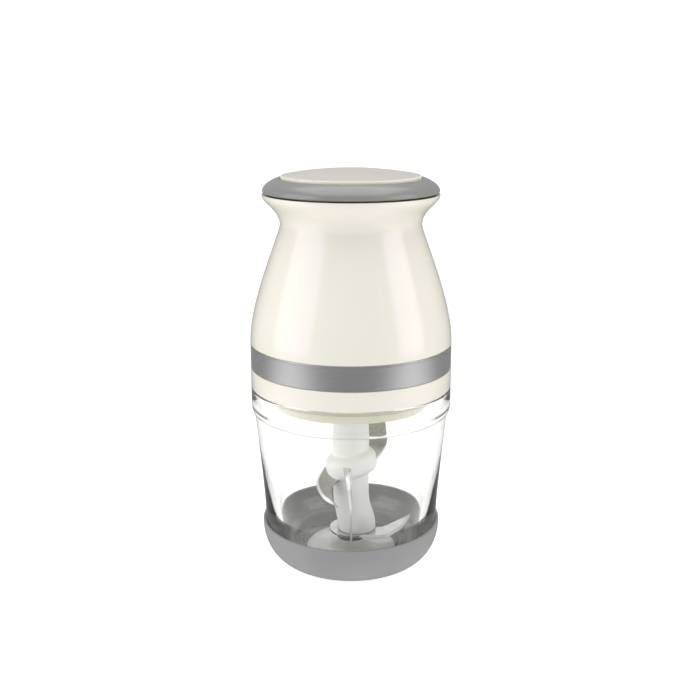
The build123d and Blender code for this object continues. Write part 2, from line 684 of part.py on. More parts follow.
for number, (x, y) in enumerate(planet_places, start=1):
    with BuildPart() as planet_gear:
        with BuildSketch(Plane(origin=(x, y, gear_low))):
            planet_pitch = gear_module * planet_teeth / 2
            toothed_face(planet_teeth, planet_pitch - 1.25 * gear_module, planet_pitch + gear_module,
                            -backlash, 2 * pi * (number - 1) / 3 + pi / planet_teeth)
        extrude(amount=gear_width)
        rod(planet_pin_radius + running_gap, gear_low, gear_high, x, y, mode=Mode.SUBTRACT)
    save(planet_gear.part, f"planet_gear_{number}")

with BuildPart() as sun_gear:
    with BuildSketch(Plane.XY.offset(gear_low)):
        sun_pitch = gear_module * sun_teeth / 2
        toothed_face(sun_teeth, sun_pitch - 1.25 * gear_module, sun_pitch + gear_module, -backlash, 0)
    extrude(amount=gear_width)
    rod(motor_shaft_radius, gear_low, gear_high, mode=Mode.SUBTRACT)
save(sun_gear.part, "sun_gear")

with BuildPart() as gearbox_cover:
    rod(gearbox_radius, gearbox_high, cover_high)
    rod(motor_boss_radius + 0.1, gearbox_high, cover_high, mode=Mode.SUBTRACT)
    for x, y in motor_screw_places:
        rod(small_screw_radius + screw_clearance, gearbox_high, cover_high, x, y, mode=Mode.SUBTRACT)
        rod(2.1, gearbox_high, gearbox_high + 1.5, x, y, mode=Mode.SUBTRACT)
save(gearbox_cover.part, "gearbox_cover")

# ============================== Motor =============================================================
with BuildPart() as motor_can:
    rod(motor_radius, cover_high, motor_high)
    rod(motor_radius - motor_wall, cover_high + motor_wall, motor_high, mode=Mode.SUBTRACT)
    rod(motor_boss_radius, cover_high - motor_boss_length, cover_high + motor_wall)
    rod(motor_shaft_radius + running_gap, cover_high - motor_boss_length, motor_high, mode=Mode.SUBTRACT)
    for x, y in motor_screw_places:
        rod(small_screw_radius, cover_high, cover_high + motor_wall, x, y, mode=Mode.SUBTRACT)
save(motor_can.part, "motor_can")

rotor_low = cover_high + 6.0
rotor_high = rotor_low + 20.0
with BuildPart() as motor_magnets:
    with BuildSketch(Plane.XY.offset(rotor_low - 1)):
        Circle(motor_radius - motor_wall)
        Circle(motor_radius - motor_wall - magnet_thickness, mode=Mode.SUBTRACT)
        Rectangle(9, 2 * motor_radius, mode=Mode.SUBTRACT)
    extrude(amount=rotor_high - rotor_low + 2)
save(motor_magnets.part, "motor_magnets")

with BuildPart() as motor_rotor:
    rod(rotor_radius, rotor_low, rotor_high)
    with BuildSketch(Plane.XY.offset(rotor_low)):
        for direction in range(0, 360, 72):
            with Locations(Location((0, 0, 0), (0, 0, direction))):
                with Locations((rotor_radius - 1.5, 0)):
                    Rectangle(4.4, 1.6)
                with Locations((rotor_radius - 4.2, 0)):
                    Circle(1.9)
    extrude(amount=rotor_high - rotor_low, mode=Mode.SUBTRACT)
    rod(3.6, rotor_high, rotor_high + 5.5)
    rod(motor_shaft_radius, rotor_low, motor_high, mode=Mode.SUBTRACT)
save(motor_rotor.part, "motor_rotor")

with BuildPart() as motor_shaft:
    rod(motor_shaft_radius, gear_low - 0.2, motor_high + 1.5)
save(motor_shaft.part, "motor_shaft")

with BuildPart() as motor_end_cap:
    rod(motor_radius, motor_high, end_cap_high)
    rod(4.0, end_cap_high, end_cap_high + 1.5)
    rod(motor_shaft_radius + running_gap, motor_high, motor_high + 1.8, mode=Mode.SUBTRACT)
    for side in (-1, 1):
        block(3.0, 0.8, motor_high, end_cap_high, x=side * 8.5, mode=Mode.SUBTRACT)
save(motor_end_cap.part, "motor_end_cap")

with BuildPart() as motor_terminals:
    for side in (-1, 1):
        block(2.8, 0.6, motor_high, end_cap_high + 4.5, x=side * 8.5)
        with Locations((side * 8.5, 0, end_cap_high + 3)):
            Cylinder(0.6, 4, rotation=(90, 0, 0), mode=Mode.SUBTRACT)
save(motor_terminals.part, "motor_terminals")

# ============================== Chassis, cells and boards =========================================
port_board_top = port_height - port_tall / 2
shelf_top = port_board_top - port_board_thickness
with BuildPart() as chassis:
    rod(chassis_radius, collar_top, chassis_top)
    rod(gearbox_radius + 0.4, collar_top, chassis_top, mode=Mode.SUBTRACT)
    for side in (-1, 1):
        cup_top = chassis_top + cell_cup_height
        rod(cell_radius + 0.25 + cell_cup_wall, chassis_top, cup_top, x=side * cell_centre)
        rod(cell_radius + 0.25, chassis_top, cup_top, x=side * cell_centre, mode=Mode.SUBTRACT)
        block(post_width, post_depth, chassis_top, board_height, y=side * post_centre)
        rod(small_screw_radius, board_height - 8, board_height, y=side * post_centre, mode=Mode.SUBTRACT)
    block(16, 20, shelf_top - 3, shelf_top, y=post_centre + 10)
    for x, y in shell_screw_places:
        rod(shell_screw_radius + screw_clearance, collar_top, chassis_top, x, y, mode=Mode.SUBTRACT)
    for x, y in lug_places:
        rod(small_screw_radius, collar_top, chassis_top, x, y, mode=Mode.SUBTRACT)
save(chassis.part, "chassis")

for name, side in (("battery_cell_left", -1), ("battery_cell_right", 1)):
    with BuildPart() as battery_cell:
        rod(cell_radius, chassis_top, chassis_top + cell_length - 1, x=side * cell_centre)
        fillet(battery_cell.edges(), 0.6)
        rod(cell_radius * 0.38, chassis_top + cell_length - 1.5, chassis_top + cell_length,
            x=side * cell_centre)
    save(battery_cell.part, name)

with BuildPart() as circuit_board:
    rod(board_radius, board_height, board_height + board_thickness)
    for side in (-1, 1):
        rod(small_screw_radius + screw_clearance, board_height, board_height + board_thickness,
            y=side * post_centre, mode=Mode.SUBTRACT)
    block(8, 5, board_height + board_thickness, board_height + board_thickness + 1.6, x=-15, y=6)
    block(3.2, 6.4, board_height + board_thickness, board_height + board_thickness + 1.2, x=14, y=-8)
    rod(3.1, board_height + board_thickness, board_height + board_thickness + 6.5, x=15, y=8)
save(circuit_board.part, "circuit_board")

with BuildPart() as charging_board:
    block(14, 13, shelf_top, port_board_top, y=shell_inner - 8.6)
save(charging_board.part, "charging_board")

with BuildPart() as charging_socket:
    with Locations((0, shell_inner - 1.2 - port_depth / 2, port_height)):
        Box(port_width, port_depth, port_tall)
    fillet(charging_socket.edges().filter_by(Axis.Y), port_tall * 0.42)
    with Locations((0, shell_inner - 1.2, port_height)):
        Box(port_width - 0.8, 2 * port_depth - 3, port_tall - 0.8, mode=Mode.SUBTRACT)
    with Locations((0, shell_inner - 1.2 - port_depth / 2, port_height)):
        Box(port_width - 2.4, port_depth - 1, 0.7)
save(charging_socket.part, "charging_socket")

# ============================== Screws ============================================================
save(screws(shell_screw_places, shell_screw_radius, plug_low + 4.5, rib_high - 6, head_up=False),
     "shell_screws")
save(screws(lug_places, small_screw_radius, chassis_top + 2.5, collar_top + 0.3, head_up=True),
     "gearbox_screws")
save(screws(motor_screw_places, small_screw_radius, gearbox_high + 1.5, cover_high + motor_wall,
            head_up=False), "motor_screws")
save(screws([(0, -post_centre), (0, post_centre)], small_screw_radius, board_height + board_thickness,
            board_height - 7, head_up=True), "board_screws")
save(screws(bezel_screw_places, small_screw_radius, web_top, waist_height, head_up=True), "bezel_screws")
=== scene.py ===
import logging
import math
from dataclasses import dataclass
from enum import Enum
from typing import Callable, Iterable, Sequence

import bpy
from mathutils import Euler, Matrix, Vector


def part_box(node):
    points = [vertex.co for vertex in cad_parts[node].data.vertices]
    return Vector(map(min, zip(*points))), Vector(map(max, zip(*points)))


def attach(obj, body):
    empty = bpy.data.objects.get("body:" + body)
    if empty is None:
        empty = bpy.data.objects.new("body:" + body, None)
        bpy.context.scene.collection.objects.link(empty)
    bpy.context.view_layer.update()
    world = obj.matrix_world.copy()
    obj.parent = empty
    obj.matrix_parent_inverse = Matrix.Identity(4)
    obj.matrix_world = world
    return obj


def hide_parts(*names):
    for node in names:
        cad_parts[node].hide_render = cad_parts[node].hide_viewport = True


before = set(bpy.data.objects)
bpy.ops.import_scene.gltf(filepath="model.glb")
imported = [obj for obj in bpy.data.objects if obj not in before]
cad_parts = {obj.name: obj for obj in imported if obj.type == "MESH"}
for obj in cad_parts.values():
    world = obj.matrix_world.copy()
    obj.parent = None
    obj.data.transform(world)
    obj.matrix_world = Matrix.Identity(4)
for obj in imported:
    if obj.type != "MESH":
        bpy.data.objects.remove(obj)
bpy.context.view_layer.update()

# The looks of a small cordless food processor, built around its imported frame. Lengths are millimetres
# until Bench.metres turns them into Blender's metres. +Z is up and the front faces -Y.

Point = tuple[float, float]
Colour = tuple[float, float, float]
MM = 0.001
FULL_TURN = 2 * math.pi
UPPER_ORDER = "ZYX"
LOG = logging.getLogger("food_processor")


class Body(Enum):
    """The rigid bodies that pieces ride on."""

    BASE = "base"
    BOWL = "bowl"
    BLADE = "blade"
    HEAD = "head"
    BUTTON = "button"
    FLAP = "flap"


def reach(node: str) -> tuple[Vector, Vector]:
    """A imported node's lowest and highest corners in millimetres.

    Args:
        node: The node's name.

    Returns:
        The two corners.
    """
    low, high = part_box(node)
    return low / MM, high / MM


# ------------------------------------------------------------------------------------------ finishes


class Paint:
    """A material under construction, with short calls for the nodes that the finishes share."""

    def __init__(self, name: str) -> None:
        """Start a material with a lone Principled shader.

        Args:
            name: The material's name.
        """
        self.material = bpy.data.materials.new(name)
        self.material.use_nodes = True
        self.tree = self.material.node_tree
        self.shader = self.tree.nodes["Principled BSDF"]
        self.output = self.tree.nodes["Material Output"]

    def node(self, kind: str, **inputs: object) -> bpy.types.Node:
        """Add a node and fill its inputs by name.

        Args:
            kind: The node type, such as ShaderNodeBump.
            **inputs: Values or sockets; underscores stand for spaces in socket names.

        Returns:
            The new node.
        """
        made = self.tree.nodes.new(kind)
        for key, value in inputs.items():
            self.put(made, key.replace("_", " "), value)
        return made

    def put(self, node: bpy.types.Node, key: str, value: object) -> None:
        """Link a socket into an input, or store a plain value there."""
        if isinstance(value, bpy.types.NodeSocket):
            self.tree.links.new(value, node.inputs[key])
        else:
            node.inputs[key].default_value = value

    def set(self, **inputs: object) -> None:
        """Fill inputs of the Principled shader by name, underscores standing for spaces."""
        for key, value in inputs.items():
            self.put(self.shader, key.replace("_", " "), value)

    def place(self, stretch: Sequence[float] = (1.0, 1.0, 1.0)) -> bpy.types.NodeSocket:
        """The point on the piece in its own frame, stretched along each axis.

        Args:
            stretch: Scale along X, Y and Z.

        Returns:
            The vector socket.
        """
        where = self.node("ShaderNodeTexCoord")
        mapped = self.node("ShaderNodeMapping", Vector=where.outputs["Object"])
        mapped.inputs["Scale"].default_value = stretch
        return mapped.outputs["Vector"]

    def noise(self, size_mm: float, detail: float = 3.0,
              stretch: Sequence[float] = (1.0, 1.0, 1.0), rough: float = 0.5) -> bpy.types.NodeSocket:
        """Grey noise with grains of about size_mm.

        Args:
            size_mm: Grain size in millimetres.
            detail: Octaves of finer grain.
            stretch: Scale along each axis; more gives shorter grains that way.
            rough: Weight of the finer octaves.

        Returns:
            The factor socket.
        """
        made = self.node("ShaderNodeTexNoise", Vector=self.place(stretch), Scale=1.0 / (size_mm * MM),
                         Detail=detail, Roughness=rough)
        return made.outputs["Fac"]

    def spread(self, source: bpy.types.NodeSocket, low: float, high: float,
               start: float = 0.3, end: float = 0.7) -> bpy.types.NodeSocket:
        """Map a factor from start..end to low..high."""
        made = self.node("ShaderNodeMapRange", Value=source, From_Min=start, From_Max=end,
                         To_Min=low, To_Max=high)
        return made.outputs["Result"]

    def blend(self, factor: bpy.types.NodeSocket, first: Colour, second: Colour) -> bpy.types.NodeSocket:
        """Mix two colours by a factor."""
        ramp = self.node("ShaderNodeValToRGB", Fac=factor)
        ramp.color_ramp.elements[0].position = 0.3
        ramp.color_ramp.elements[0].color = (*first, 1.0)
        ramp.color_ramp.elements[1].position = 0.7
        ramp.color_ramp.elements[1].color = (*second, 1.0)
        return ramp.outputs["Color"]

    def bump(self, height: bpy.types.NodeSocket, depth_mm: float) -> None:
        """Raise the surface by a height of 0 to 1, where 1 stands for depth_mm millimetres."""
        made = self.node("ShaderNodeBump", Height=height, Distance=depth_mm * MM, Strength=1.0)
        self.set(Normal=made.outputs["Normal"])

    def distance(self, place: bpy.types.NodeSocket, point: Sequence[float]) -> bpy.types.NodeSocket:
        """How far a place is from a point, in metres."""
        away = self.node("ShaderNodeVectorMath")
        away.operation = "DISTANCE"
        self.tree.links.new(place, away.inputs[0])
        away.inputs[1].default_value = point
        return away.outputs["Value"]

    def maths(self, operation: str, *values: bpy.types.NodeSocket) -> bpy.types.NodeSocket:
        """Work a sum out on sockets."""
        made = self.node("ShaderNodeMath")
        made.operation = operation
        for value, socket in zip(values, made.inputs):
            self.tree.links.new(value, socket)
        return made.outputs[0]

    def switch(self, factor: bpy.types.NodeSocket, other: bpy.types.Node) -> None:
        """Show another shader in place of the Principled one where a factor is one."""
        mix = self.node("ShaderNodeMixShader", Fac=factor)
        self.tree.links.new(self.shader.outputs[0], mix.inputs[1])
        self.tree.links.new(other.outputs[0], mix.inputs[2])
        self.tree.links.new(mix.outputs[0], self.output.inputs["Surface"])


@dataclass(frozen=True)
class Moulded:
    """Moulded plastic or rubber: drifting colour, fine skin texture and an optional clear coat."""

    name: str
    colour: Colour
    drift: Colour
    roughness: tuple[float, float]
    skin_mm: float = 0.6
    skin_depth_mm: float = 0.01
    coat: float = 0.0
    coat_roughness: float = 0.05
    soft_mm: float = 0.0
    pearl_nm: float = 0.0

    def material(self) -> bpy.types.Material:
        """Build the material."""
        paint = Paint(self.name)
        cloud = paint.noise(24.0, detail=2.0)
        paint.set(Base_Color=paint.blend(cloud, self.colour, self.drift),
                  Roughness=paint.spread(paint.noise(7.0, detail=4.0), *self.roughness),
                  IOR=1.5, Coat_Weight=self.coat, Coat_Roughness=self.coat_roughness)
        if self.soft_mm:
            paint.set(Subsurface_Weight=0.35, Subsurface_Scale=self.soft_mm * MM)
            paint.shader.inputs["Subsurface Radius"].default_value = (1.0, 0.9, 0.75)
        if self.pearl_nm:
            paint.set(Thin_Film_Thickness=self.pearl_nm, Thin_Film_IOR=1.38)
        paint.bump(paint.noise(self.skin_mm, detail=2.0), self.skin_depth_mm)
        return paint.material


@dataclass(frozen=True)
class Brushed:
    """Steel with fine lines: level rings on a band, or lines across a ground blade."""

    name: str
    dark: Colour
    light: Colour
    roughness: tuple[float, float]
    stretch: tuple[float, float, float]
    line_mm: float
    depth_mm: float = 0.004
    anisotropy: float = 0.0
    metal: float = 1.0

    def material(self) -> bpy.types.Material:
        """Build the material."""
        paint = Paint(self.name)
        lines = paint.noise(self.line_mm, detail=5.0, stretch=self.stretch, rough=0.65)
        paint.set(Metallic=self.metal, Base_Color=paint.blend(lines, self.dark, self.light),
                  Roughness=paint.spread(lines, *self.roughness),
                  Anisotropic=self.anisotropy)
        if self.anisotropy:
            tangent = paint.node("ShaderNodeTangent")
            tangent.direction_type = "RADIAL"
            tangent.axis = "Z"
            paint.set(Tangent=tangent.outputs["Tangent"])
        paint.bump(lines, self.depth_mm)
        return paint.material


@dataclass(frozen=True)
class Glass:
    """Clear pressed glass that lets lamps reach what stands in it."""

    name: str
    tint: Colour
    roughness: float = 0.0
    ripple_depth_mm: float = 0.02

    def material(self) -> bpy.types.Material:
        """Build the material, with a see-through stand-in for shadow rays."""
        paint = Paint(self.name)
        paint.set(Base_Color=(*self.tint, 1.0), Transmission_Weight=1.0, IOR=1.5, Roughness=self.roughness)
        paint.bump(paint.noise(9.0, detail=1.0), self.ripple_depth_mm)
        ray = paint.node("ShaderNodeLightPath")
        open_way = paint.node("ShaderNodeBsdfTransparent", Color=(*self.tint, 1.0))
        paint.switch(ray.outputs["Is Shadow Ray"], open_way)
        return paint.material


CREAM = Moulded("cream_pearl_gloss", (0.85, 0.82, 0.725), (0.87, 0.845, 0.755), (0.24, 0.26), skin_mm=1.4,
                skin_depth_mm=0.003, coat=1.0, coat_roughness=0.15, pearl_nm=320.0)
CREAM_DISC = Moulded("cream_satin_disc", (0.56, 0.54, 0.495), (0.59, 0.57, 0.525), (0.34, 0.44),
                     skin_mm=0.5, skin_depth_mm=0.008, coat=0.25, coat_roughness=0.3)
CREAM_PLUG = Moulded("cream_plug", (0.85, 0.82, 0.69), (0.87, 0.845, 0.72), (0.25, 0.36), skin_mm=0.8,
                     skin_depth_mm=0.005)
BOOT_GREY = Moulded("boot_grey_rubber", (0.27, 0.27, 0.27), (0.295, 0.295, 0.295), (0.55, 0.68),
                    skin_mm=0.35, skin_depth_mm=0.02)
BEZEL_GREY = Moulded("bezel_grey_satin", (0.235, 0.24, 0.225), (0.26, 0.265, 0.25), (0.28, 0.38),
                     skin_mm=0.5, skin_depth_mm=0.006, coat=0.35, coat_roughness=0.15)
HUB_WHITE = Moulded("hub_white_satin", (0.87, 0.87, 0.865), (0.90, 0.90, 0.895), (0.3, 0.42), skin_mm=0.7,
                    skin_depth_mm=0.006, soft_mm=2.0)
SILICONE = Moulded("silicone_cream", (0.84, 0.815, 0.70), (0.86, 0.835, 0.73), (0.4, 0.5), soft_mm=1.0)
FLAP_RUBBER = Moulded("flap_rubber", (0.80, 0.74, 0.60), (0.83, 0.77, 0.64), (0.5, 0.6), skin_mm=0.4,
                      skin_depth_mm=0.012)
BLACK_MOULDING = Moulded("black_moulding", (0.02, 0.02, 0.022), (0.03, 0.03, 0.033), (0.4, 0.55),
                         skin_mm=0.5, skin_depth_mm=0.02)
GREY_NYLON = Moulded("grey_nylon", (0.11, 0.115, 0.125), (0.14, 0.145, 0.155), (0.4, 0.5))
NYLON = Moulded("natural_nylon", (0.72, 0.68, 0.56), (0.77, 0.73, 0.62), (0.35, 0.45), soft_mm=1.0)
CELL_WRAP = Moulded("cell_wrap", (0.03, 0.14, 0.22), (0.04, 0.17, 0.26), (0.2, 0.3), coat=0.5)
BOARD = Moulded("board_green", (0.01, 0.12, 0.04), (0.02, 0.16, 0.06), (0.25, 0.4), coat=0.6)
BAND = Brushed("band_brushed_steel", (0.57, 0.57, 0.575), (0.65, 0.65, 0.655), (0.22, 0.3),
               (0.7, 0.7, 60.0), 8.0, depth_mm=0.0008, anisotropy=0.8)
BLADE = Brushed("blade_steel", (0.54, 0.54, 0.55), (0.62, 0.62, 0.63), (0.2, 0.3), (6.0, 6.0, 1.0), 4.0,
                depth_mm=0.0006)
GROUND = Brushed("blade_ground_edge", (0.70, 0.70, 0.71), (0.85, 0.85, 0.86), (0.12, 0.22),
                 (4.0, 4.0, 4.0), 3.0, depth_mm=0.0006, metal=0.35)
BRIGHT = Brushed("bright_steel", (0.62, 0.62, 0.63), (0.74, 0.74, 0.75), (0.12, 0.2), (3.0, 3.0, 3.0), 4.0)
ZINC = Brushed("zinc_plate", (0.52, 0.52, 0.53), (0.64, 0.64, 0.66), (0.3, 0.42), (2.0, 2.0, 2.0), 5.0)
BRONZE = Brushed("bronze", (0.45, 0.28, 0.12), (0.60, 0.40, 0.18), (0.3, 0.42), (2.0, 2.0, 2.0), 3.0)
CORE = Brushed("core_plates", (0.16, 0.15, 0.14), (0.24, 0.22, 0.20), (0.4, 0.5), (1.0, 1.0, 30.0), 3.0)
BOWL_GLASS = Glass("bowl_glass", (0.962, 0.965, 0.948))
LENS = Glass("lens_frosted", (0.9, 0.95, 0.9), roughness=0.3)

CAD_FINISHES = {
    BRIGHT: ("blade_pin", "stem_clip", "button_spring", "planet_pins", "output_shaft", "motor_shaft",
             "charging_socket", "shell_screws", "gearbox_screws", "motor_screws", "board_screws",
             "bezel_screws"),
    NYLON: ("thrust_washer", "planet_gear_1", "planet_gear_2", "planet_gear_3"),
    BRONZE: ("output_bush", "sun_gear", "motor_terminals"),
    GREY_NYLON: ("gearbox_housing", "gearbox_cover", "drive_coupling"),
    BLACK_MOULDING: ("lip_seal", "micro_switch", "chassis", "motor_end_cap", "motor_magnets"),
    ZINC: ("planet_carrier", "motor_can"),
    CORE: ("motor_rotor",),
    CELL_WRAP: ("battery_cell_left", "battery_cell_right"),
    BOARD: ("circuit_board", "charging_board"),
    SILICONE: ("seal_ring",),
    HUB_WHITE: ("switch_plunger", "blade_hub"),
    FLAP_RUBBER: ("port_flap",),
    LENS: ("charge_lens",),
    BLADE: ("upper_blade", "lower_blade"),
    CREAM: ("motor_housing", "lower_collar"),
    CREAM_DISC: ("button_cap",),
    CREAM_PLUG: ("bottom_cover",),
    BOOT_GREY: ("base_boot",),
    BEZEL_GREY: ("top_bezel",),
    BAND: ("steel_band",),
    BOWL_GLASS: ("glass_bowl",),
}


# -------------------------------------------------------------------------------------- mesh modelling


class Bench:
    """Edit-mode steps that the sub-assemblies share."""

    @staticmethod
    def metres(*lengths: float) -> tuple[float, ...]:
        """Turn millimetres into Blender's metres."""
        return tuple(length * MM for length in lengths)

    @staticmethod
    def clear() -> None:
        """Leave edit mode and deselect everything."""
        if bpy.context.object and bpy.context.object.mode != "OBJECT":
            bpy.ops.object.mode_set(mode="OBJECT")
        bpy.ops.object.select_all(action="DESELECT")

    @staticmethod
    def chosen(obj: bpy.types.Object) -> bpy.types.Object:
        """Make an object the only selected and the active one."""
        Bench.clear()
        obj.select_set(True)
        bpy.context.view_layer.objects.active = obj
        return obj

    @staticmethod
    def named(name: str) -> bpy.types.Object:
        """Name the primitive that was just added."""
        obj = bpy.context.active_object
        obj.name = name
        obj.data.name = name
        return obj

    @staticmethod
    def seed(name: str, at: Sequence[float]) -> bpy.types.Object:
        """A mesh of one vertex in edit mode, ready to be extruded.

        Args:
            name: The piece's name.
            at: The vertex's place in millimetres.

        Returns:
            The object.
        """
        Bench.clear()
        bpy.ops.mesh.primitive_plane_add(size=MM)
        obj = Bench.named(name)
        bpy.ops.object.mode_set(mode="EDIT")
        bpy.ops.mesh.select_mode(type="VERT")
        bpy.ops.mesh.select_all(action="SELECT")
        bpy.ops.mesh.merge(type="CENTER")
        bpy.ops.transform.translate(value=Bench.metres(*at))
        return obj

    @staticmethod
    def draw(name: str, points: Sequence[Sequence[float]], closed: bool) -> bpy.types.Object:
        """Extrude a vertex along points and stay in edit mode with the line selected.

        Args:
            name: The piece's name.
            points: Places in millimetres.
            closed: True to join the last point to the first.

        Returns:
            The object.
        """
        obj = Bench.seed(name, points[0])
        for before, after in zip(points, points[1:]):
            step = Bench.metres(*(b - a for a, b in zip(before, after)))
            bpy.ops.mesh.extrude_region_move(TRANSFORM_OT_translate={"value": step})
        if closed:
            bpy.ops.mesh.extrude_region_move(TRANSFORM_OT_translate={
                "value": Bench.metres(*(b - a for a, b in zip(points[-1], points[0])))})
        bpy.ops.mesh.select_all(action="SELECT")
        bpy.ops.mesh.remove_doubles(threshold=0.001 * MM)
        return obj

    @staticmethod
    def turn(name: str, outline: Sequence[Point], steps: int, closed: bool = True) -> bpy.types.Object:
        """Spin an outline of (radius, height) points into a smooth closed shell.

        Args:
            name: The piece's name.
            outline: The section in millimetres.
            steps: Facets round the axis.
            closed: True where the outline is a wall's whole section.

        Returns:
            The object, in object mode.
        """
        obj = Bench.draw(name, [(r, 0.0, z) for r, z in outline], closed)
        bpy.ops.mesh.spin(steps=steps, angle=FULL_TURN, center=(0, 0, 0), axis=(0, 0, 1))
        bpy.ops.mesh.select_all(action="SELECT")
        bpy.ops.mesh.remove_doubles(threshold=0.002 * MM)
        bpy.ops.mesh.normals_make_consistent(inside=False)
        bpy.ops.object.mode_set(mode="OBJECT")
        return obj

    @staticmethod
    def skin(name: str, rails: Sequence[Sequence[Sequence[float]]], rings: bool) -> bpy.types.Object:
        """Bridge neighbouring lines of points into a closed solid.

        Args:
            name: The piece's name.
            rails: Lines of equally many points, in millimetres.
            rings: True where each line is a closed ring, and the rings are stacked; otherwise the lines
                run side by side along the piece, the last beside the first.

        Returns:
            The object, in object mode.
        """
        lines = []
        for rail in rails:
            line = Bench.draw(name, rail, rings)
            bpy.ops.object.mode_set(mode="OBJECT")
            lines.append(line)
        count = len(rails[0])
        piece = Bench.joined(lines, name)
        pairs = [(k, k + 1) for k in range(len(rails) - 1)]
        if not rings:
            pairs.append((len(rails) - 1, 0))
        for first, second in pairs:
            chosen = {first * count + i for i in range(count)} | {second * count + i for i in range(count)}
            Bench.pick_numbers(piece, chosen)
            bpy.ops.mesh.bridge_edge_loops()
        ends = [set(range(count)), set(range((len(rails) - 1) * count, len(rails) * count))] if rings else [
            {k * count for k in range(len(rails))}, {k * count + count - 1 for k in range(len(rails))}]
        for end in ends:
            Bench.pick_numbers(piece, end)
            bpy.ops.mesh.edge_face_add()
        bpy.ops.mesh.select_all(action="SELECT")
        bpy.ops.mesh.normals_make_consistent(inside=False)
        bpy.ops.object.mode_set(mode="OBJECT")
        return piece

    @staticmethod
    def pick_numbers(piece: bpy.types.Object, numbers: set[int]) -> None:
        """Select vertices by number and stay in edit mode."""
        Bench.chosen(piece)
        bpy.ops.object.mode_set(mode="EDIT")
        bpy.ops.mesh.select_mode(type="VERT")
        bpy.ops.mesh.select_all(action="DESELECT")
        bpy.ops.object.mode_set(mode="OBJECT")
        for vertex in piece.data.vertices:
            vertex.select = vertex.index in numbers
        bpy.ops.object.mode_set(mode="EDIT")

    @staticmethod
    def joined(pieces: Sequence[bpy.types.Object], name: str) -> bpy.types.Object:
        """Join pieces into the first and name it."""
        Bench.clear()
        for piece in pieces:
            piece.select_set(True)
        bpy.context.view_layer.objects.active = pieces[0]
        if len(pieces) > 1:
            bpy.ops.object.join()
        return Bench.named(name)

    @staticmethod
    def loop_plate(name: str, corners: Sequence[Point], low: float, high: float) -> bpy.types.Object:
        """Fill a level outline and raise it into a plate.

        Args:
            name: The piece's name.
            corners: The outline's corners.
            low: Height of the underside.
            high: Height of the top.

        Returns:
            The object, in object mode.
        """
        plate = Bench.draw(name, [(x, y, low) for x, y in corners], True)
        bpy.ops.mesh.edge_face_add()
        bpy.ops.mesh.extrude_region_move(TRANSFORM_OT_translate={"value": (0, 0, (high - low) * MM)})
        bpy.ops.mesh.select_all(action="SELECT")
        bpy.ops.mesh.normals_make_consistent(inside=False)
        bpy.ops.object.mode_set(mode="OBJECT")
        return plate

    @staticmethod
    def post(name: str, radius: float, low: float, high: float, spot: Sequence[float]) -> bpy.types.Object:
        """An upright rod at a spot, for cutting or joining."""
        Bench.clear()
        bpy.ops.mesh.primitive_cylinder_add(vertices=40, radius=radius * MM, depth=(high - low) * MM,
                                            location=Bench.metres(spot[0], spot[1], (low + high) / 2))
        return Bench.named(name)

    @staticmethod
    def rod(name: str, radius: float, length: float, centre: Sequence[float]) -> bpy.types.Object:
        """A rod along Y for cutting."""
        Bench.clear()
        bpy.ops.mesh.primitive_cylinder_add(vertices=32, radius=radius * MM, depth=length * MM,
                                            location=Bench.metres(*centre), rotation=(math.pi / 2, 0, 0))
        return Bench.named(name)

    @staticmethod
    def brick(name: str, size: Sequence[float], centre: Sequence[float],
              rounding: float) -> bpy.types.Object:
        """A block with rounded edges for cutting."""
        Bench.clear()
        bpy.ops.mesh.primitive_cube_add(size=1, location=Bench.metres(*centre))
        block = Bench.named(name)
        bpy.ops.object.mode_set(mode="EDIT")
        bpy.ops.transform.resize(value=Bench.metres(*size))
        bpy.ops.object.mode_set(mode="OBJECT")
        Bench.soften(block, rounding, segments=2)
        return block

    @staticmethod
    def arc_block(name: str, half: float, inner: float, outer: float, low: float,
                  high: float) -> bpy.types.Object:
        """A slab bent round the upright axis, at the back of the object.

        Args:
            name: The piece's name.
            half: Half its width.
            inner: Radius of its inner face.
            outer: Radius of its outer face.
            low: Height of its lower edge.
            high: Height of its upper edge.

        Returns:
            The object, in object mode.
        """
        count = 16
        corners = []
        for radius, order in ((outer, 1), (inner, -1)):
            reach_out = math.asin(half / radius)
            angles = [order * (-reach_out + 2 * reach_out * i / count) for i in range(count + 1)]
            corners += [(radius * math.sin(a), radius * math.cos(a)) for a in angles]
        return Bench.loop_plate(name, corners, low, high)

    @staticmethod
    def pick(obj: bpy.types.Object, kind: str, test: Callable[[Vector, Vector], bool]) -> int:
        """Select vertices or faces by place and normal, and go to edit mode.

        Args:
            obj: The piece.
            kind: VERT or FACE.
            test: Called with the place in millimetres and the normal.

        Returns:
            How many were selected.
        """
        bpy.ops.object.mode_set(mode="EDIT")
        bpy.ops.mesh.select_mode(type=kind)
        bpy.ops.mesh.select_all(action="DESELECT")
        bpy.ops.object.mode_set(mode="OBJECT")
        items = obj.data.vertices if kind == "VERT" else obj.data.polygons
        count = 0
        for item in items:
            spot = (item.co if kind == "VERT" else item.center) / MM
            item.select = bool(test(spot, item.normal))
            count += item.select
        bpy.ops.object.mode_set(mode="EDIT")
        return count

    @staticmethod
    def modify(obj: bpy.types.Object, kind: str, **settings: object) -> None:
        """Add a modifier, fill its settings and apply it."""
        Bench.chosen(obj)
        modifier = obj.modifiers.new(kind.title(), kind)
        for key, value in settings.items():
            setattr(modifier, key, value)
        bpy.ops.object.modifier_apply(modifier=modifier.name)

    @staticmethod
    def soften(obj: bpy.types.Object, width: float, angle: float = 30.0, segments: int = 3) -> None:
        """Round every edge sharper than an angle.

        Args:
            obj: The piece.
            width: Bevel width in millimetres.
            angle: Sharpest edge left alone, in degrees.
            segments: Facets across the rounding.
        """
        Bench.modify(obj, "BEVEL", width=width * MM, segments=segments, limit_method="ANGLE",
                     angle_limit=math.radians(angle), harden_normals=False)

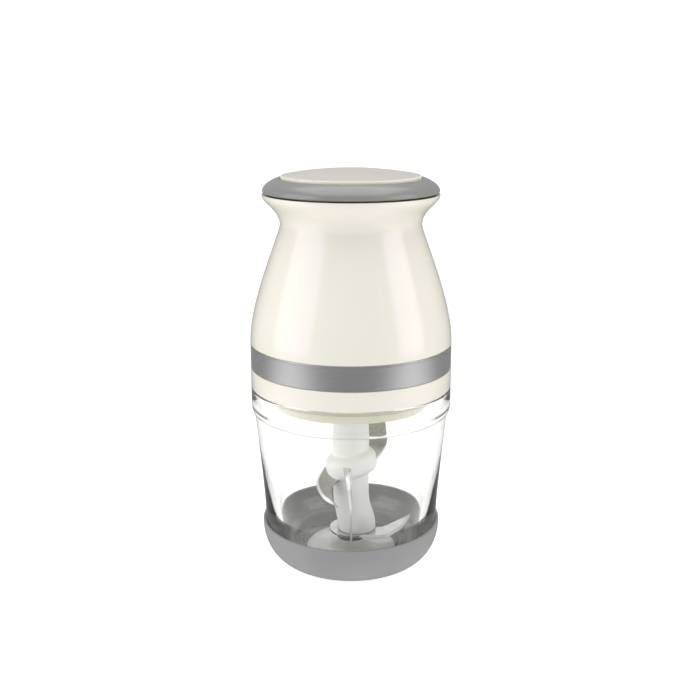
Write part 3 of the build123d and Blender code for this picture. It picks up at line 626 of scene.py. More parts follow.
    @staticmethod
    def smooth(obj: bpy.types.Object, angle: float = 35.0) -> None:
        """Shade smooth, with edges sharper than an angle left crisp."""
        Bench.chosen(obj)
        bpy.ops.object.shade_smooth_by_angle(angle=math.radians(angle))

    @staticmethod
    def cut(obj: bpy.types.Object, cutter: bpy.types.Object) -> None:
        """Take a cutter's shape out of a piece and discard the cutter."""
        Bench.modify(obj, "BOOLEAN", object=cutter, operation="DIFFERENCE", solver="EXACT")
        bpy.data.objects.remove(cutter)

    @staticmethod
    def finish(obj: bpy.types.Object, finishes: Iterable[object], body: Body, slot: str,
               nodes: Sequence[str]) -> bpy.types.Object:
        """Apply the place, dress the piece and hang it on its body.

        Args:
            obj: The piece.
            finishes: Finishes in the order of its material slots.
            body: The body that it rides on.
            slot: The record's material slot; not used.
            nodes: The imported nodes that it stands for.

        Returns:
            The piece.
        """
        Bench.chosen(obj)
        bpy.ops.object.transform_apply(location=True, rotation=True, scale=True)
        numbers = [face.material_index for face in obj.data.polygons]
        obj.data.materials.clear()
        for finish in finishes:
            obj.data.materials.append(Wardrobe.get(finish))
        obj.data.polygons.foreach_set("material_index", numbers)
        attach(obj, body.value)
        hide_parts(*nodes)
        LOG.info("%s: %d faces on %s", obj.name, len(obj.data.polygons), body.value)
        return obj


class Wardrobe:
    """One material for each finish, made when first asked for."""

    made: dict[str, bpy.types.Material] = {}

    @classmethod
    def get(cls, finish: object) -> bpy.types.Material:
        """The finish's material."""
        if finish.name not in cls.made:
            cls.made[finish.name] = finish.material()
        return cls.made[finish.name]


class Curve:
    """Points along the curves that the sections share."""

    @staticmethod
    def bezier(a: Point, b: Point, c: Point, d: Point, count: int) -> list[Point]:
        """Points on a cubic curve, both ends included."""
        points = []
        for i in range(count + 1):
            t = i / count
            weights = ((1 - t) ** 3, 3 * t * (1 - t) ** 2, 3 * t * t * (1 - t), t ** 3)
            points.append(tuple(sum(w * p[k] for w, p in zip(weights, (a, b, c, d))) for k in (0, 1)))
        return points

    @staticmethod
    def ellipse(centre: Point, radii: Point, start: float, end: float, count: int) -> list[Point]:
        """Points on an elliptical arc between two angles in degrees, both ends included."""
        points = []
        for i in range(count + 1):
            angle = math.radians(start + (end - start) * i / count)
            points.append((centre[0] + radii[0] * math.cos(angle), centre[1] + radii[1] * math.sin(angle)))
        return points

    @staticmethod
    def ring(circle: float, angles: Iterable[float]) -> list[Vector]:
        """Places at angles in degrees round the axis."""
        return [Vector((math.cos(turn), math.sin(turn))) * circle for turn in map(math.radians, angles)]

    @staticmethod
    def rounded(knots: Sequence[Sequence[float]], count: int = 4) -> list[Point]:
        """A run of rounded corners.

        Args:
            knots: Corners as (radius, height, cut). The first and the last are points as (radius, height)
                that the run comes from and goes to, and aren't in it.
            count: Facets across each corner.

        Returns:
            The roundings' points.
        """
        points = []
        for before, at, after in zip(knots, knots[1:], knots[2:]):
            points += Curve.corner(before[:2], at[:2], after[:2], at[2], count)
        return points

    @staticmethod
    def corner(before: Point, at: Point, after: Point, cut: float, count: int = 4) -> list[Point]:
        """A corner rounded by a short curve.

        Args:
            before: The point that the line comes from.
            at: The corner.
            after: The point that it goes to.
            cut: How far from the corner the rounding starts.
            count: Facets across it.

        Returns:
            The rounding's points.
        """
        ends = []
        for other in (before, after):
            away = Vector((other[0] - at[0], other[1] - at[1]))
            ends.append(Vector(at) + away.normalized() * min(cut, away.length))
        points = []
        for i in range(count + 1):
            t = i / count
            spot = ends[0] * (1 - t) ** 2 + Vector(at) * (2 * t * (1 - t)) + ends[1] * t ** 2
            points.append((spot.x, spot.y))
        return points

    @staticmethod
    def through(knots: Sequence[Point], count: int) -> list[Point]:
        """Points evenly spaced by knot number on a smooth curve through the knots, both ends included."""
        points = []
        last = len(knots) - 1
        for i in range(count + 1):
            place = min(i / count * last, last - 1e-9)
            k = int(place)
            t = place - k
            tangents = []
            for j in (k, k + 1):
                a, b = knots[max(j - 1, 0)], knots[min(j + 1, last)]
                scale = 0.5 if 0 < j < last else 1.0
                tangents.append(((b[0] - a[0]) * scale, (b[1] - a[1]) * scale))
            weights = (2 * t ** 3 - 3 * t ** 2 + 1, t ** 3 - 2 * t ** 2 + t, -2 * t ** 3 + 3 * t ** 2,
                       t ** 3 - t ** 2)
            controls = (knots[k], tangents[0], knots[k + 1], tangents[1])
            points.append(tuple(sum(w * p[c] for w, p in zip(weights, controls)) for c in (0, 1)))
        return points


# ---------------------------------------------------------------------------------------- sub-assemblies


@dataclass
class Stage:
    """Pale floor and backdrop, soft lamps and the camera."""

    camera_place: tuple[float, float, float] = (0.0, -500.0, 242.7)
    camera_tilt: float = 75.223
    lens: float = 52.776
    shift: float = -1 / 700
    aim: tuple[float, float, float] = (0.0, 0.0, 120.0)
    floor_half: float = 1500.0
    back_distance: float = 900.0
    gloss_surround: float = 0.34
    sky: float = 0.46
    # Centre, glow and fade of a painted pool of light that mirrored rays see on the paper.
    painted_gloss_pool: tuple[float, float, float] = (370.0, 150.0, 0.0)
    painted_gloss_pool_glow: float = 1.1
    painted_gloss_pool_fade: tuple[float, float] = (0.06, 0.27)
    paper_glow: float = 0.34
    # A painted shadow in the paper's glow under the boot's opening, and painted light round its foot.
    well_painted_shadow_glow: float = 0.13
    foot_painted_light_glow: float = 0.72

    def build(self) -> None:
        """Make the camera first, then the sweep, the lamps and the sky."""
        self.camera()
        self.sweep()
        self.lamps()
        bpy.context.scene.view_settings.view_transform = "Standard"

    def camera(self) -> None:
        """A short tele lens a little above the lid, looking slightly down."""
        lens = bpy.data.cameras.new("camera")
        lens.lens = self.lens
        lens.sensor_width = 36.0
        lens.shift_x = self.shift
        lens.clip_start = 0.01
        camera = bpy.data.objects.new("camera", lens)
        bpy.context.scene.collection.objects.link(camera)
        camera.location = Bench.metres(*self.camera_place)
        camera.rotation_euler = Euler((math.radians(self.camera_tilt), 0.0, 0.0))
        bpy.context.scene.camera = camera

    def sweep(self) -> None:
        """A floor that curves up into a backdrop."""
        bend = 300.0
        line = [(0.0, -self.floor_half, 0.0), (0.0, self.back_distance - bend, 0.0)]
        for y, z in Curve.ellipse((self.back_distance - bend, bend), (bend, bend), -90, 0, 12)[1:]:
            line.append((0.0, y, z))
        line.append((0.0, self.back_distance, 2000.0))
        sweep = Bench.draw("floor", [(x - self.floor_half, y, z) for x, y, z in line], False)
        width = 2 * self.floor_half * MM
        bpy.ops.mesh.extrude_region_move(TRANSFORM_OT_translate={"value": (width, 0, 0)})
        bpy.ops.mesh.select_all(action="SELECT")
        bpy.ops.mesh.normals_make_consistent(inside=True)
        bpy.ops.object.mode_set(mode="OBJECT")
        Bench.smooth(sweep, 60)
        sweep.data.materials.append(self.paper())

    def paper(self) -> bpy.types.Material:
        """White paper that looks dim when it is mirrored, as black flags give in a studio, but for a painted
        pool of light in its mirrored look.
        """
        paint = Paint("floor_white")
        paint.set(Base_Color=paint.blend(paint.noise(300.0), (0.78, 0.78, 0.78), (0.80, 0.80, 0.80)),
                  Roughness=0.8, Specular_IOR_Level=0.1, Emission_Strength=self.painted_floor_light(paint))
        paint.shader.inputs["Emission Color"].default_value = (1.0, 1.0, 1.0, 1.0)
        # A painted pool of light, left and right of the front and seen only by mirrored rays, keeps the
        # mirrored paper bright there.
        split = paint.node("ShaderNodeSeparateXYZ", Vector=paint.place((1.0, -1.0, 1.0)))
        joined = paint.node("ShaderNodeCombineXYZ", X=paint.maths("ABSOLUTE", split.outputs["X"]),
                            Y=split.outputs["Y"])
        away = paint.distance(joined.outputs["Vector"], Bench.metres(*self.painted_gloss_pool))
        painted_floor_light = paint.spread(away, self.painted_gloss_pool_glow, self.gloss_surround, *self.painted_gloss_pool_fade)
        paint.switch(Stage.mirrored(paint.tree), paint.node("ShaderNodeEmission", Strength=painted_floor_light))
        return paint.material

    def painted_floor_light(self, paint: Paint) -> bpy.types.NodeSocket:
        """The paper's own light, with painted shade and light: a painted shadow low under the boot's opening,
        and painted light a little raised round its foot that fills its contact shadow.
        """
        out = paint.distance(paint.place(), (0.0, 0.0, 0.0))
        # Painted shadow under the opening, then painted light round the foot that fades out to the plain
        # paper.
        inner = paint.spread(out, self.well_painted_shadow_glow, self.foot_painted_light_glow, 0.024, 0.034)
        outer = paint.spread(out, 0.0, self.foot_painted_light_glow - self.paper_glow, 0.046, 0.12)
        return paint.maths("SUBTRACT", inner, outer)

    @staticmethod
    def mirrored(tree: bpy.types.NodeTree) -> bpy.types.NodeSocket:
        """One for a ray that a glossy surface mirrors, nothing for one that glass lets through."""
        ray = tree.nodes.new("ShaderNodeLightPath")
        only = tree.nodes.new("ShaderNodeMath")
        only.operation = "SUBTRACT"
        only.use_clamp = True
        tree.links.new(ray.outputs["Is Glossy Ray"], only.inputs[0])
        tree.links.new(ray.outputs["Is Transmission Ray"], only.inputs[1])
        return only.outputs[0]

    def lamp(self, name: str, place: Sequence[float], size: Point, watts: float) -> None:
        """A soft box that faces the object's middle.

        Args:
            name: The lamp's name.
            place: Its middle in millimetres.
            size: Width and height in millimetres.
            watts: Power.
        """
        data = bpy.data.lights.new(name, "AREA")
        data.shape = "RECTANGLE"
        data.size, data.size_y = Bench.metres(*size)
        data.energy = watts
        lamp = bpy.data.objects.new(name, data)
        bpy.context.scene.collection.objects.link(lamp)
        lamp.location = Bench.metres(*place)
        direction = Vector(self.aim) - Vector(place)
        lamp.rotation_euler = direction.to_track_quat("-Z", "Y").to_euler()

    def lamps(self) -> None:
        """Two tall side boxes, one overhead, and a sky that looks dim in gloss."""
        self.lamp("left_box", (-640, -260, 300), (640, 700), 2.3)
        self.lamp("right_box", (640, -240, 300), (420, 700), 1.7)
        self.lamp("top_box", (0, 60, 900), (900, 900), 4.5)
        world = bpy.data.worlds.new("studio")
        bpy.context.scene.world = world
        world.use_nodes = True
        tree = world.node_tree
        fade = tree.nodes.new("ShaderNodeMapRange")
        for key, value in (("To Min", self.sky), ("To Max", self.gloss_surround)):
            fade.inputs[key].default_value = value
        tree.links.new(self.mirrored(tree), fade.inputs["Value"])
        tree.links.new(fade.outputs["Result"], tree.nodes["Background"].inputs["Strength"])
        tree.nodes["Background"].inputs["Color"].default_value = (1.0, 1.0, 1.0, 1.0)


@dataclass
class Boot:
    """Grey rubber boot that the bowl stands in."""

    flat: float = 30.0
    bulge: float = 15.8
    curve_height: float = 20.0
    wall: float = 1.3
    floor: float = 3.0
    opening: float = 24.5
    rounding: float = 0.45
    steps: int = 176

    def build(self) -> bpy.types.Object:
        """Turn the boot and round its rim."""
        low, high = reach("base_boot")
        side = self.flat + self.bulge
        outline = Curve.corner((self.opening, self.floor), (self.opening, low.z), (self.flat, low.z), 0.3)
        outline += [(self.flat - 1.2, low.z)]
        centre = (self.flat, self.curve_height)
        outline += Curve.ellipse(centre, (self.bulge, self.curve_height), -89, 0, 26)
        inside = side - self.wall
        outline += Curve.rounded([(side, self.curve_height), (side, high.z, self.rounding),
                                  (inside, high.z, self.rounding), (inside, self.curve_height)])
        inner = (self.bulge - self.wall, self.curve_height - self.floor)
        outline += Curve.ellipse(centre, inner, 0, -90, 22)
        outline += Curve.rounded([(self.flat, self.floor), (self.opening, self.floor, 0.3),
                                  (self.opening, low.z)])
        boot = Bench.turn("boot", outline, self.steps)
        Bench.smooth(boot, 40)
        return Bench.finish(boot, [BOOT_GREY], Body.BASE, "boot_grey", ["base_boot"])


@dataclass
class Bowl:
    """Thick pressed glass bowl with a rolled lip, a ringed foot and a boss for the pin."""

    foot: float = 28.0
    foot_width: float = 2.5
    flat: float = 30.0
    body_low: float = 3.4
    punt: float = 4.2
    side_low: float = 20.4
    low_radius: float = 44.1
    top_radius: float = 48.9
    lip_depth: float = 13.6
    inner_top: float = 43.9
    inner_low: Point = (37.0, 20.0)
    floor: float = 9.0
    floor_radius: float = 29.0
    boss: float = 7.0
    boss_top: float = 12.2
    bore: float = 2.03
    bore_low: float = 7.15
    steps: int = 192

    def build(self) -> bpy.types.Object:
        """Turn the whole wall in one piece."""
        low, high = reach("glass_bowl")
        lip = high.x
        lip_low = high.z - self.lip_depth
        bottom = low.z + 0.02
        outline = [(0.0, self.punt)]
        foot_inner = self.foot - self.foot_width
        outline += Curve.rounded([(0, self.punt), (foot_inner, self.punt, 0.5), (foot_inner, bottom, 0.25),
                                  (self.foot, bottom, 0.18), (self.foot, self.body_low)])
        outline += [(self.foot, self.body_low)]
        outline += Curve.ellipse((self.flat, self.side_low),
                                 (self.low_radius - self.flat, self.side_low - self.body_low), -90, 0, 26)
        outline += Curve.bezier((self.low_radius, self.side_low), (self.low_radius + 0.5, self.side_low + 18),
                                (self.top_radius - 2.3, lip_low - 24), (self.top_radius, lip_low), 22)[1:]
        outline += Curve.bezier((self.top_radius, lip_low), (lip - 0.2, lip_low + 0.5), (lip, lip_low + 2.5),
                                (lip, lip_low + 6), 12)[1:]
        outline += Curve.rounded([(lip, lip_low + 6), (lip, high.z, 0.9), (self.inner_top, high.z, 0.9),
                                  (self.inner_top - 0.1, high.z - 6)])
        outline += Curve.bezier((self.inner_top - 0.1, high.z - 6), (self.inner_top - 1.2, high.z - 32),
                                (self.inner_low[0] + 1.8, self.inner_low[1] + 16), self.inner_low, 26)
        outline += Curve.bezier(self.inner_low, (self.inner_low[0] - 0.9, self.inner_low[1] - 7),
                                (self.inner_low[0] - 1.5, self.floor), (self.floor_radius, self.floor), 18)[1:]
        outline += Curve.rounded([(self.floor_radius, self.floor), (self.boss, self.floor, 0.8),
                                  (self.boss, self.boss_top, 0.3), (self.bore, self.boss_top)])
        outline += [(self.bore, self.boss_top), (self.bore, self.bore_low), (0.0, self.bore_low)]
        bowl = Bench.turn("bowl", outline, self.steps, closed=False)
        Bench.smooth(bowl, 40)
        return Bench.finish(bowl, [BOWL_GLASS], Body.BOWL, "clear_glass", ["glass_bowl"])


@dataclass
class BladeSet:
    """White hub with a leaning collar and four ground steel arms."""

    hub: float = 9.3
    foot: float = 10.2
    foot_shift: float = 3.0
    foot_height: float = 1.5
    column_low: float = 33.7
    bore: float = 2.05
    bore_top: float = 43.0
    collar_centre: float = 52.5
    collar: float = 13.6
    collar_depth: float = 13.0
    lean: float = 15.6
    pitch: float = 31.0
    socket_low: float = 82.0
    socket_flats: float = 10.3
    thickness: float = 1.2
    ground_width: float = 1.5
    voxel: float = 0.42

    def build(self) -> list[bpy.types.Object]:
        """Make the hub, the upper crescents and the lower arms."""
        return [self.build_hub(), self.build_upper(), self.build_lower()]

    def build_hub(self) -> bpy.types.Object:
        """Join the column, its shifted foot and the collar into one moulding with soft inner corners."""
        low, high = reach("blade_hub")
        rails = []
        turns = 48
        for z, radius, shift in self.hub_stations(low.z, high.z):
            angles = [FULL_TURN * i / turns for i in range(turns)]
            rails.append([(shift + radius * math.cos(a), radius * math.sin(a), z) for a in angles])
        hub = Bench.skin("hub", rails, rings=True)
        half = self.collar_depth / 2
        outline = [(0.0, -half)]
        outline += Curve.corner((0, -half), (self.collar, -half), (self.collar, 0), 4.6)
        outline += Curve.corner((self.collar, 0), (self.collar, half), (0, half), 9.0, 8)
        outline += [(0.0, half)]
        collar = Bench.turn("collar", outline, 72, closed=False)
        collar.rotation_euler = Euler((0.0, math.radians(-self.lean), 0.0))
        collar.location = Bench.metres(0, 0, self.collar_centre)
        Bench.chosen(collar)
        hub.select_set(True)
        bpy.context.view_layer.objects.active = hub
        bpy.ops.object.join()
        Bench.modify(hub, "REMESH", mode="VOXEL", voxel_size=self.voxel * MM, adaptivity=0.0)
        Bench.modify(hub, "SMOOTH", factor=0.5, iterations=14)
        bore = Bench.turn("bore", [(0.0, low.z - 5), (self.bore, low.z - 5), (self.bore, self.bore_top),
                                   (0.0, self.bore_top)], 32, closed=False)
        Bench.cut(hub, bore)
        Bench.clear()
        bpy.ops.mesh.primitive_cylinder_add(vertices=6, radius=self.socket_flats / math.sqrt(3) * MM,
                                            depth=40 * MM, location=(0, 0, (self.socket_low + 20) * MM),
                                            rotation=(0, 0, math.radians(30)))
        Bench.cut(hub, Bench.named("socket"))
        Bench.smooth(hub, 38)
        return Bench.finish(hub, [HUB_WHITE], Body.BLADE, "hub_white", ["blade_hub"])

    def hub_stations(self, low: float, high: float) -> list[tuple[float, float, float]]:
        """Heights, radii and sideways shifts of the hub's level rings."""
        foot_top = low + self.foot_height
        stations = [(low, self.foot, self.foot_shift), (foot_top, self.foot, self.foot_shift)]
        for i in range(1, 13):
            t = i / 12
            ease = t * t * (3 - 2 * t)
            stations.append((foot_top + (self.column_low - foot_top) * t,
                             self.foot + (self.hub - self.foot) * ease, self.foot_shift * (1 - ease)))
        return stations + [(high, self.hub, 0.0)]

    def arm(self, name: str, edge: Sequence[Vector], back: Sequence[Vector],
            up: Callable[[float], Vector], sharp: bool = True) -> bpy.types.Object:
        """A blade arm, with a ground cutting edge where it is sharp.

        Args:
            name: The piece's name.
            edge: Points along the cutting edge, in the plate's middle plane.
            back: As many points along the blunt side.
            up: The plate's normal at a share of the arm's length.
            sharp: False for a blunt arm.

        Returns:
            The arm, its ground faces on the second material slot.
        """
        rails: list[list[Vector]] = [[], [], [], [], []]
        half = self.thickness / 2
        last = len(edge) - 1
        for i, (cut, blunt) in enumerate(zip(edge, back)):
            normal = up(i / last)
            across = blunt - cut
            inward = across.normalized() * min(self.ground_width if sharp else 0.1, across.length * 0.5)
            low_edge = 0.12 if sharp else self.thickness - 0.1
            for rail, point in zip(rails, (cut - normal * half, cut - normal * (half - low_edge),
                                           cut + inward + normal * half, blunt + normal * half,
                                           blunt - normal * half)):
                rail.append(point)
        arm = Bench.skin(name, rails, rings=False)
        arm.data.materials.append(Wardrobe.get(BLADE))
        arm.data.materials.append(Wardrobe.get(GROUND))
        ground = len(edge) - 1
        for face in arm.data.polygons[ground:2 * ground]:
            face.material_index = int(sharp)
        return arm

    def build_upper(self) -> bpy.types.Object:
        """A crescent in front and a blunt arm behind, in one leaning plane."""
        turn = Euler((math.radians(self.pitch), math.radians(-self.lean), 0.0), UPPER_ORDER).to_matrix()
        centre = Vector((0, 0, self.collar_centre))
        crescent = ([(-12.5, 3.0), (-18.6, -9.5), (-14.8, -21.0), (-6.5, -28.5)],
                    [(-3.2, -4.0), (-5.0, -10.5), (-9.4, -14.5), (-9.8, -21.5), (-6.9, -28.3)])
        blunt = ([(12.5, -3.0), (18.9, 7.0), (19.4, 18.0), (17.0, 26.0)],
                 [(3.2, 4.0), (5.0, 10.5), (8.4, 14.5), (9.4, 20.5), (16.4, 25.8)])
        arms = []
        for (outer, inner), sharp in ((crescent, True), (blunt, False)):
            edge = [centre + turn @ Vector((x, y, 0)) for x, y in Curve.through(outer, 28)]
            back = [centre + turn @ Vector((x, y, 0)) for x, y in Curve.through(inner, 28)]
            arms.append(self.arm("upper_arm", edge, back, lambda share: turn @ Vector((0, 0, 1)), sharp))
        blade = Bench.joined(arms, "upper_blade_steel")
        Bench.smooth(blade, 20)
        return Bench.finish(blade, [BLADE, GROUND], Body.BLADE, "blade_steel", ["upper_blade"])

    def build_lower(self) -> bpy.types.Object:
        """The clamped ring, the low arm at its side and the arm that stands on edge in front."""
        low, high = reach("lower_blade")
        top = reach("blade_hub")[0].z
        middle = (low.z + top) / 2
        ring = Bench.turn("ring", [(3.5, low.z), (11.5, low.z), (11.5, top), (3.5, top)], 72)
        ring.data.materials.append(Wardrobe.get(BLADE))
        Bench.soften(ring, 0.15, segments=1)
        front = Curve.through([(4.0, -11.0), (17.0, -12.0), (26.0, -6.0), (33.8, 5.0)], 28)
        rear = Curve.through([(4.0, 9.0), (13.0, -2.0), (25.0, 2.6), (33.5, 5.2)], 28)
        start, end = 11.5, 34.2

        def lifted(x: float, y: float) -> Vector:
            share = max(0.0, min(1.0, (x - start) / (end - start)))
            return Vector((x, y, middle + 4.0 * share ** 1.6))

        side = self.arm("side_arm", [lifted(x, y) for x, y in front], [lifted(x, y) for x, y in rear],
                        lambda share: Vector((0, 0, 1)))
        outer = Curve.through([(-22.0, 13.6), (-28.6, 24.0), (-27.6, 42.0), (-21.5, 57.0)], 32)
        inner = Curve.through([(-11.2, 13.8), (-15.0, 21.0), (-18.0, 32.0), (-20.4, 46.0),
                               (-21.2, 56.4)], 32)
        # The standing arm turns a little towards its tip, so its side shows there.
        sway = [9.0 * max(0.0, i / 32 - 0.5) ** 1.5 for i in range(33)]
        standing = self.arm("front_arm", [Vector((-s, y, z)) for s, (y, z) in zip(sway, outer)],
                            [Vector((s * -0.1, y, z)) for s, (y, z) in zip(sway, inner)],
                            lambda share: Vector((1, 0, 0)))
        half = self.thickness / 2
        root = [(-half, -13.0), (half, -13.0), (half, -9.0), (-half, -9.0)]
        plate = Bench.loop_plate("front_root", root, low.z, top)
        plate.data.materials.append(Wardrobe.get(BLADE))
        blade = Bench.joined([ring, side, standing, plate], "lower_blade_steel")
        Bench.smooth(blade, 20)
        return Bench.finish(blade, [BLADE, GROUND], Body.BLADE, "blade_steel", ["lower_blade"])


@dataclass
class Plug:
    """Cream cover that plugs the bowl, with the well for the hub, screw wells and a silicone seal."""

    radius: float = 40.0
    step: float = 41.6
    step_height: float = 2.8
    wall: float = 2.0
    well: float = 12.5
    well_ceiling: float = 95.0
    ceiling_top: float = 97.8
    bush: float = 5.5
    groove_low: float = 89.8
    groove_high: float = 92.2
    groove: float = 1.4
    screw_circle: float = 34.5
    screw_post: float = 3.4
    screw_head: float = 2.8
    screw_bore: float = 1.7
    steps: int = 160

    def build(self) -> list[bpy.types.Object]:
        """Turn the cover, sink the screw wells and add the seal."""
        low = reach("bottom_cover")[0].z
        rim = reach("glass_bowl")[1].z
        step = low + self.step_height
        inside = self.radius - self.wall
        outline = [(self.well, low)]
        outline += Curve.rounded([(self.well, low), (self.radius, low, 0.5), (self.radius, step, 0.3),
                                  (self.step, step, 0.4), (self.step, self.groove_low)])
        seat = self.step - self.groove
        outline += [(self.step, self.groove_low), (seat, self.groove_low), (seat, self.groove_high),
                    (self.step, self.groove_high), (self.step, rim),
                    (inside, rim), (inside, low + self.wall), (self.well + self.wall, low + self.wall),
                    (self.well + self.wall, self.ceiling_top), (self.bush, self.ceiling_top),
                    (self.bush, self.well_ceiling)]
        outline += Curve.rounded([(self.bush, self.well_ceiling), (self.well, self.well_ceiling, 0.8),
                                  (self.well, low, 0.5), (self.radius, low)])
        cover = Bench.turn("plug_cover", outline, self.steps)
        for spot in Curve.ring(self.screw_circle, range(45, 360, 90)):
            post = Bench.post("screw_post", self.screw_post, low + 0.8, rim, spot)
            Bench.modify(cover, "BOOLEAN", object=post, operation="UNION", solver="EXACT")
            bpy.data.objects.remove(post)
            Bench.cut(cover, Bench.post("screw_well", self.screw_head, low - 1, low + 4.5, spot))
            Bench.cut(cover, Bench.post("screw_bore", self.screw_bore, low - 1, rim + 1, spot))
        Bench.smooth(cover, 35)
        Bench.finish(cover, [CREAM_PLUG], Body.HEAD, "cream_satin", ["bottom_cover"])
        return [cover, self.build_seal()]

    def build_seal(self) -> bpy.types.Object:
        """Soft ring with two rounded lips."""
        inner = self.step - self.groove + 0.02
        lip = reach("seal_ring")[1].x
        low, high = self.groove_low + 0.02, self.groove_high - 0.02
        outline = [(inner, low)]
        outline += Curve.corner((inner, low), (lip, low), (lip, low + 1.0), 0.5)
        outline += [(lip - 0.7, low + 1.18)]
        outline += Curve.corner((lip, low + 1.3), (lip, high), (inner, high), 0.5)
        outline += [(inner, high)]
        seal = Bench.turn("seal", outline, self.steps)
        Bench.smooth(seal, 40)
        return Bench.finish(seal, [SILICONE], Body.HEAD, "seal_silicone", ["seal_ring"])


@dataclass
class Shell:
    """Cream collar, steel band and the waisted housing that flares out under the bezel."""

    wall: float = 2.5
    belly: float = 20.5
    waist: float = 34.7
    waist_height: float = 174.6
    waist_tension: float = 3.8
    neck_tension: float = 7.35
    flare: float = 43.2
    flare_tension: float = 4.2
    floor: float = 3.0
    sleeve: float = 49.65
    spigot: float = 47.1
    spigot_wall: float = 2.0
    opening: float = 37.0
    port_height: float = 124.0
    port: Point = (9.5, 3.8)
    recess: tuple[float, float, float, float] = (8.1, 48.42, 118.6, 128.9)
    lens: Point = (13.0, 1.27)
    steps: int = 192

    def build(self) -> list[bpy.types.Object]:
        """Make the three shell pieces from the bottom up."""
        return [self.build_collar(), self.build_band(), self.build_housing()]

    def build_collar(self) -> bpy.types.Object:
        """Turn the ring that rests on the glass, with its hidden sleeve and spigot."""
        low, high = reach("lower_collar")
        band_low, band_high = (corner.z for corner in reach("steel_band"))
        rim = high.x
        outline = [(self.opening, low.z)]
        outline += Curve.rounded([(self.opening, low.z), (rim, low.z, 0.45), (rim, band_low, 0.35),
                                  (self.sleeve, band_low)])
        outline += [(self.sleeve, band_low), (self.sleeve, band_high), (self.spigot, band_high),
                    (self.spigot, high.z), (self.spigot - self.spigot_wall, high.z),
                    (self.spigot - self.spigot_wall, low.z + self.floor), (self.opening, low.z + self.floor)]
        collar = Bench.turn("collar_ring", outline, self.steps)
        Bench.smooth(collar, 40)
        return Bench.finish(collar, [CREAM], Body.HEAD, "cream_gloss", ["lower_collar"])

    def build_band(self) -> bpy.types.Object:
        """Turn the steel hoop with soft edges and a hairline gap above and below."""
        low, high = reach("steel_band")
        gap, edge = 0.12, 0.14
        inner, outer = self.sleeve + 0.03, high.x
        outline = [(inner, low.z + gap)]
        outline += Curve.corner((inner, low.z + gap), (outer, low.z + gap), (outer, high.z), edge)
        outline += [(outer, low.z + (high.z - low.z) * i / 8) for i in range(1, 8)]
        outline += Curve.corner((outer, low.z), (outer, high.z - gap), (inner, high.z - gap), edge)
        outline += [(inner, high.z - gap)]
        band = Bench.turn("band", outline, self.steps)
        Bench.smooth(band, 40)
        return Bench.finish(band, [BAND], Body.HEAD, "band_steel", ["steel_band"])

    def build_housing(self) -> bpy.types.Object:
        """Turn the waisted wall, then open the charging port at the back."""
        low, high = reach("motor_housing")
        base = reach("steel_band")[1]
        outline = Curve.corner((base.x - self.wall, base.z), (base.x, base.z), (base.x, base.z + 5), 0.3)
        pull_low = self.waist_height - self.waist_tension
        pull_high = self.waist_height + self.neck_tension
        flare_pull = high.z - self.flare_tension
        outline += Curve.bezier((base.x, base.z + 0.6), (base.x, base.z + self.belly),
                                (self.waist, pull_low), (self.waist, self.waist_height), 44)
        outline += Curve.bezier((self.waist, self.waist_height), (self.waist, pull_high),
                                (self.flare, flare_pull), (self.flare, high.z - 0.5), 24)[1:]
        flare, waist, belly = (radius - self.wall for radius in (self.flare, self.waist, base.x))
        outline += Curve.corner((self.flare, high.z - 0.5), (self.flare, high.z), (flare, high.z), 0.3)
        outline += Curve.bezier((flare, high.z), (flare, flare_pull), (waist, pull_high),
                                (waist, self.waist_height), 14)
        outline += Curve.bezier((waist, self.waist_height), (waist, pull_low),
                                (belly, base.z + self.belly), (belly, base.z), 24)[1:]
        housing = Bench.turn("housing", outline, self.steps)
        half, depth, recess_low, recess_high = self.recess
        Bench.cut(housing, Bench.arc_block("recess", half, depth, 60.0, recess_low, recess_high))
        width, height = self.port
        Bench.cut(housing, Bench.brick("port", (width, 14, height), (0, base.x, self.port_height), 0.5))
        side, bore = self.lens
        Bench.cut(housing, Bench.rod("lens_bore", bore, 16, (side, base.x, self.port_height)))
        Bench.smooth(housing, 30)
        return Bench.finish(housing, [CREAM], Body.HEAD, "cream_gloss", ["motor_housing"])


@dataclass
class Port:
    """Rubber flap over the charging socket."""

    half: float = 7.8
    inner: float = 48.6
    outer: float = 50.0
    low: float = 119.9
    high: float = 128.3
    rounding: float = 1.4

    def build(self) -> bpy.types.Object:
        """Shape the curved flap with softened edges and a hinge groove."""
        flap = Bench.arc_block("flap", self.half, self.inner, self.outer, self.low, self.high)
        Bench.soften(flap, 0.35, angle=50)
        groove = Bench.brick("groove", (2 * self.half + 2, 0.5, 0.5),
                             (0, self.outer - 0.75, self.low + 1.5), 0.1)
        Bench.cut(flap, groove)
        Bench.smooth(flap, 35)
        return Bench.finish(flap, [FLAP_RUBBER], Body.FLAP, "port_rubber", ["port_flap"])


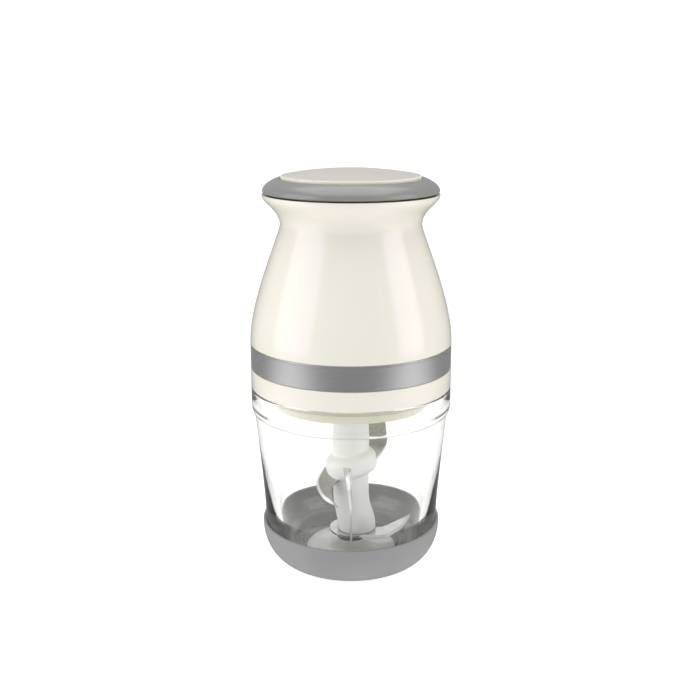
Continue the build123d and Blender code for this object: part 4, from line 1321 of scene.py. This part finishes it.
@dataclass
class Crown:
    """Grey bezel and the cream button inside it."""

    bezel: float = 43.0
    bore: float = 34.4
    button: float = 34.1
    lip: float = 196.6
    edge: float = 198.0
    crown: float = 3.2
    skirt: float = 7.5
    button_wall: float = 1.8
    skirt_radius: float = 37.0
    ring_low: float = 189.9
    web_low: float = 185.0
    web_top: float = 187.0
    guide: Point = (5.05, 7.05)
    guide_low: float = 177.1
    guide_high: float = 191.0
    stem: float = 5.0
    stem_low: float = 171.0
    clip_groove: tuple[float, float, float] = (4.2, 176.0, 177.0)
    screw_circle: float = 28.0
    screw_bore: float = 1.3
    rim_width: float = 0.7
    steps: int = 192

    def build(self) -> list[bpy.types.Object]:
        """Make the bezel, then the button."""
        return [self.build_bezel(), self.build_button()]

    def build_bezel(self) -> bpy.types.Object:
        """Turn the rolled ring, its web and the button's guide tube in one piece."""
        low = self.ring_low
        mouth = self.bore + 1.2
        outline = [(self.skirt_radius, low), (self.skirt_radius + 4.4, low)]
        outline += Curve.bezier((self.skirt_radius + 4.6, low + 0.02), (self.bezel - 0.5, low + 0.15),
                                (self.bezel, low + 0.5), (self.bezel, low + 0.9), 6)
        outline += Curve.bezier((self.bezel, low + 0.9), (self.bezel + 0.1, low + 3.3),
                                (self.bezel - 3.6, self.lip - 0.9), (mouth, self.lip + 0.3), 26)[1:]
        outline += Curve.rounded([(mouth, self.lip + 0.3), (self.bore, self.lip + 0.1, 0.3),
                                  (self.bore, self.web_top)])
        inner, outer = self.guide
        outline += [(self.bore, self.web_top), (outer, self.web_top), (outer, self.guide_high),
                    (inner, self.guide_high), (inner, self.guide_low), (outer, self.guide_low),
                    (outer, self.web_low), (self.skirt_radius, self.web_low)]
        ring = Bench.turn("bezel", outline, self.steps)
        for spot in Curve.ring(self.screw_circle, range(90, 360, 120)):
            Bench.cut(ring, Bench.post("bore", self.screw_bore, self.web_low - 1, self.web_top + 1, spot))
        Bench.smooth(ring, 35)
        return Bench.finish(ring, [BEZEL_GREY], Body.HEAD, "bezel_grey", ["top_bezel"])

    def build_button(self) -> bpy.types.Object:
        """Turn the crowned cap with its skirt and stem, its rim faces painted lighter as a highlight."""
        sphere = (self.button ** 2 + self.crown ** 2) / (2 * self.crown)
        centre = self.edge + self.crown - sphere

        def dome(radius: float, drop: float) -> Point:
            return (radius, centre + math.sqrt(sphere ** 2 - radius ** 2) - drop)

        rim = self.button - self.rim_width
        outline = [dome(rim * i / 24, 0.0) for i in range(25)]
        outline += Curve.rounded([dome(rim, 0.0), (self.button, self.edge + 0.1, 0.5),
                                  (self.button, self.edge - 2)])
        low = self.edge - self.skirt
        inside = self.button - self.button_wall
        outline += [(self.button, low + 0.3), (self.button - 0.3, low), (inside, low)]
        outline += [dome(inside + (self.stem - inside) * i / 10, self.button_wall) for i in range(11)]
        groove, groove_low, groove_high = self.clip_groove
        outline += [(self.stem, groove_high), (groove, groove_high), (groove, groove_low),
                    (self.stem, groove_low), (self.stem, self.stem_low + 0.5),
                    (self.stem - 0.5, self.stem_low), (0.0, self.stem_low)]
        button = Bench.turn("button", outline, self.steps, closed=False)
        Bench.smooth(button, 35)
        # The rim's faces take the lighter plug cream: a painted highlight along the button's rounded edge,
        # lighter than its top.
        for face in button.data.polygons:
            face.material_index = int(face.center.xy.length > (rim - 0.1) * MM)
        return Bench.finish(button, [CREAM_DISC, CREAM_PLUG], Body.BUTTON, "cream_satin", ["button_cap"])


def dress_packed_nodes() -> None:
    """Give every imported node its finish; the pieces below then stand for some of them."""
    for finish, nodes in CAD_FINISHES.items():
        for node in nodes:
            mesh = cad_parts[node].data
            mesh.materials.clear()
            mesh.materials.append(Wardrobe.get(finish))


def main() -> None:
    """Build the stage and the sub-assemblies in order."""
    logging.basicConfig(level=logging.INFO, format="%(name)s %(message)s")
    Stage().build()
    dress_packed_nodes()
    for assembly in (Boot(), Bowl(), BladeSet(), Plug(), Shell(), Port(), Crown()):
        assembly.build()


if __name__ == "__main__":
    main()
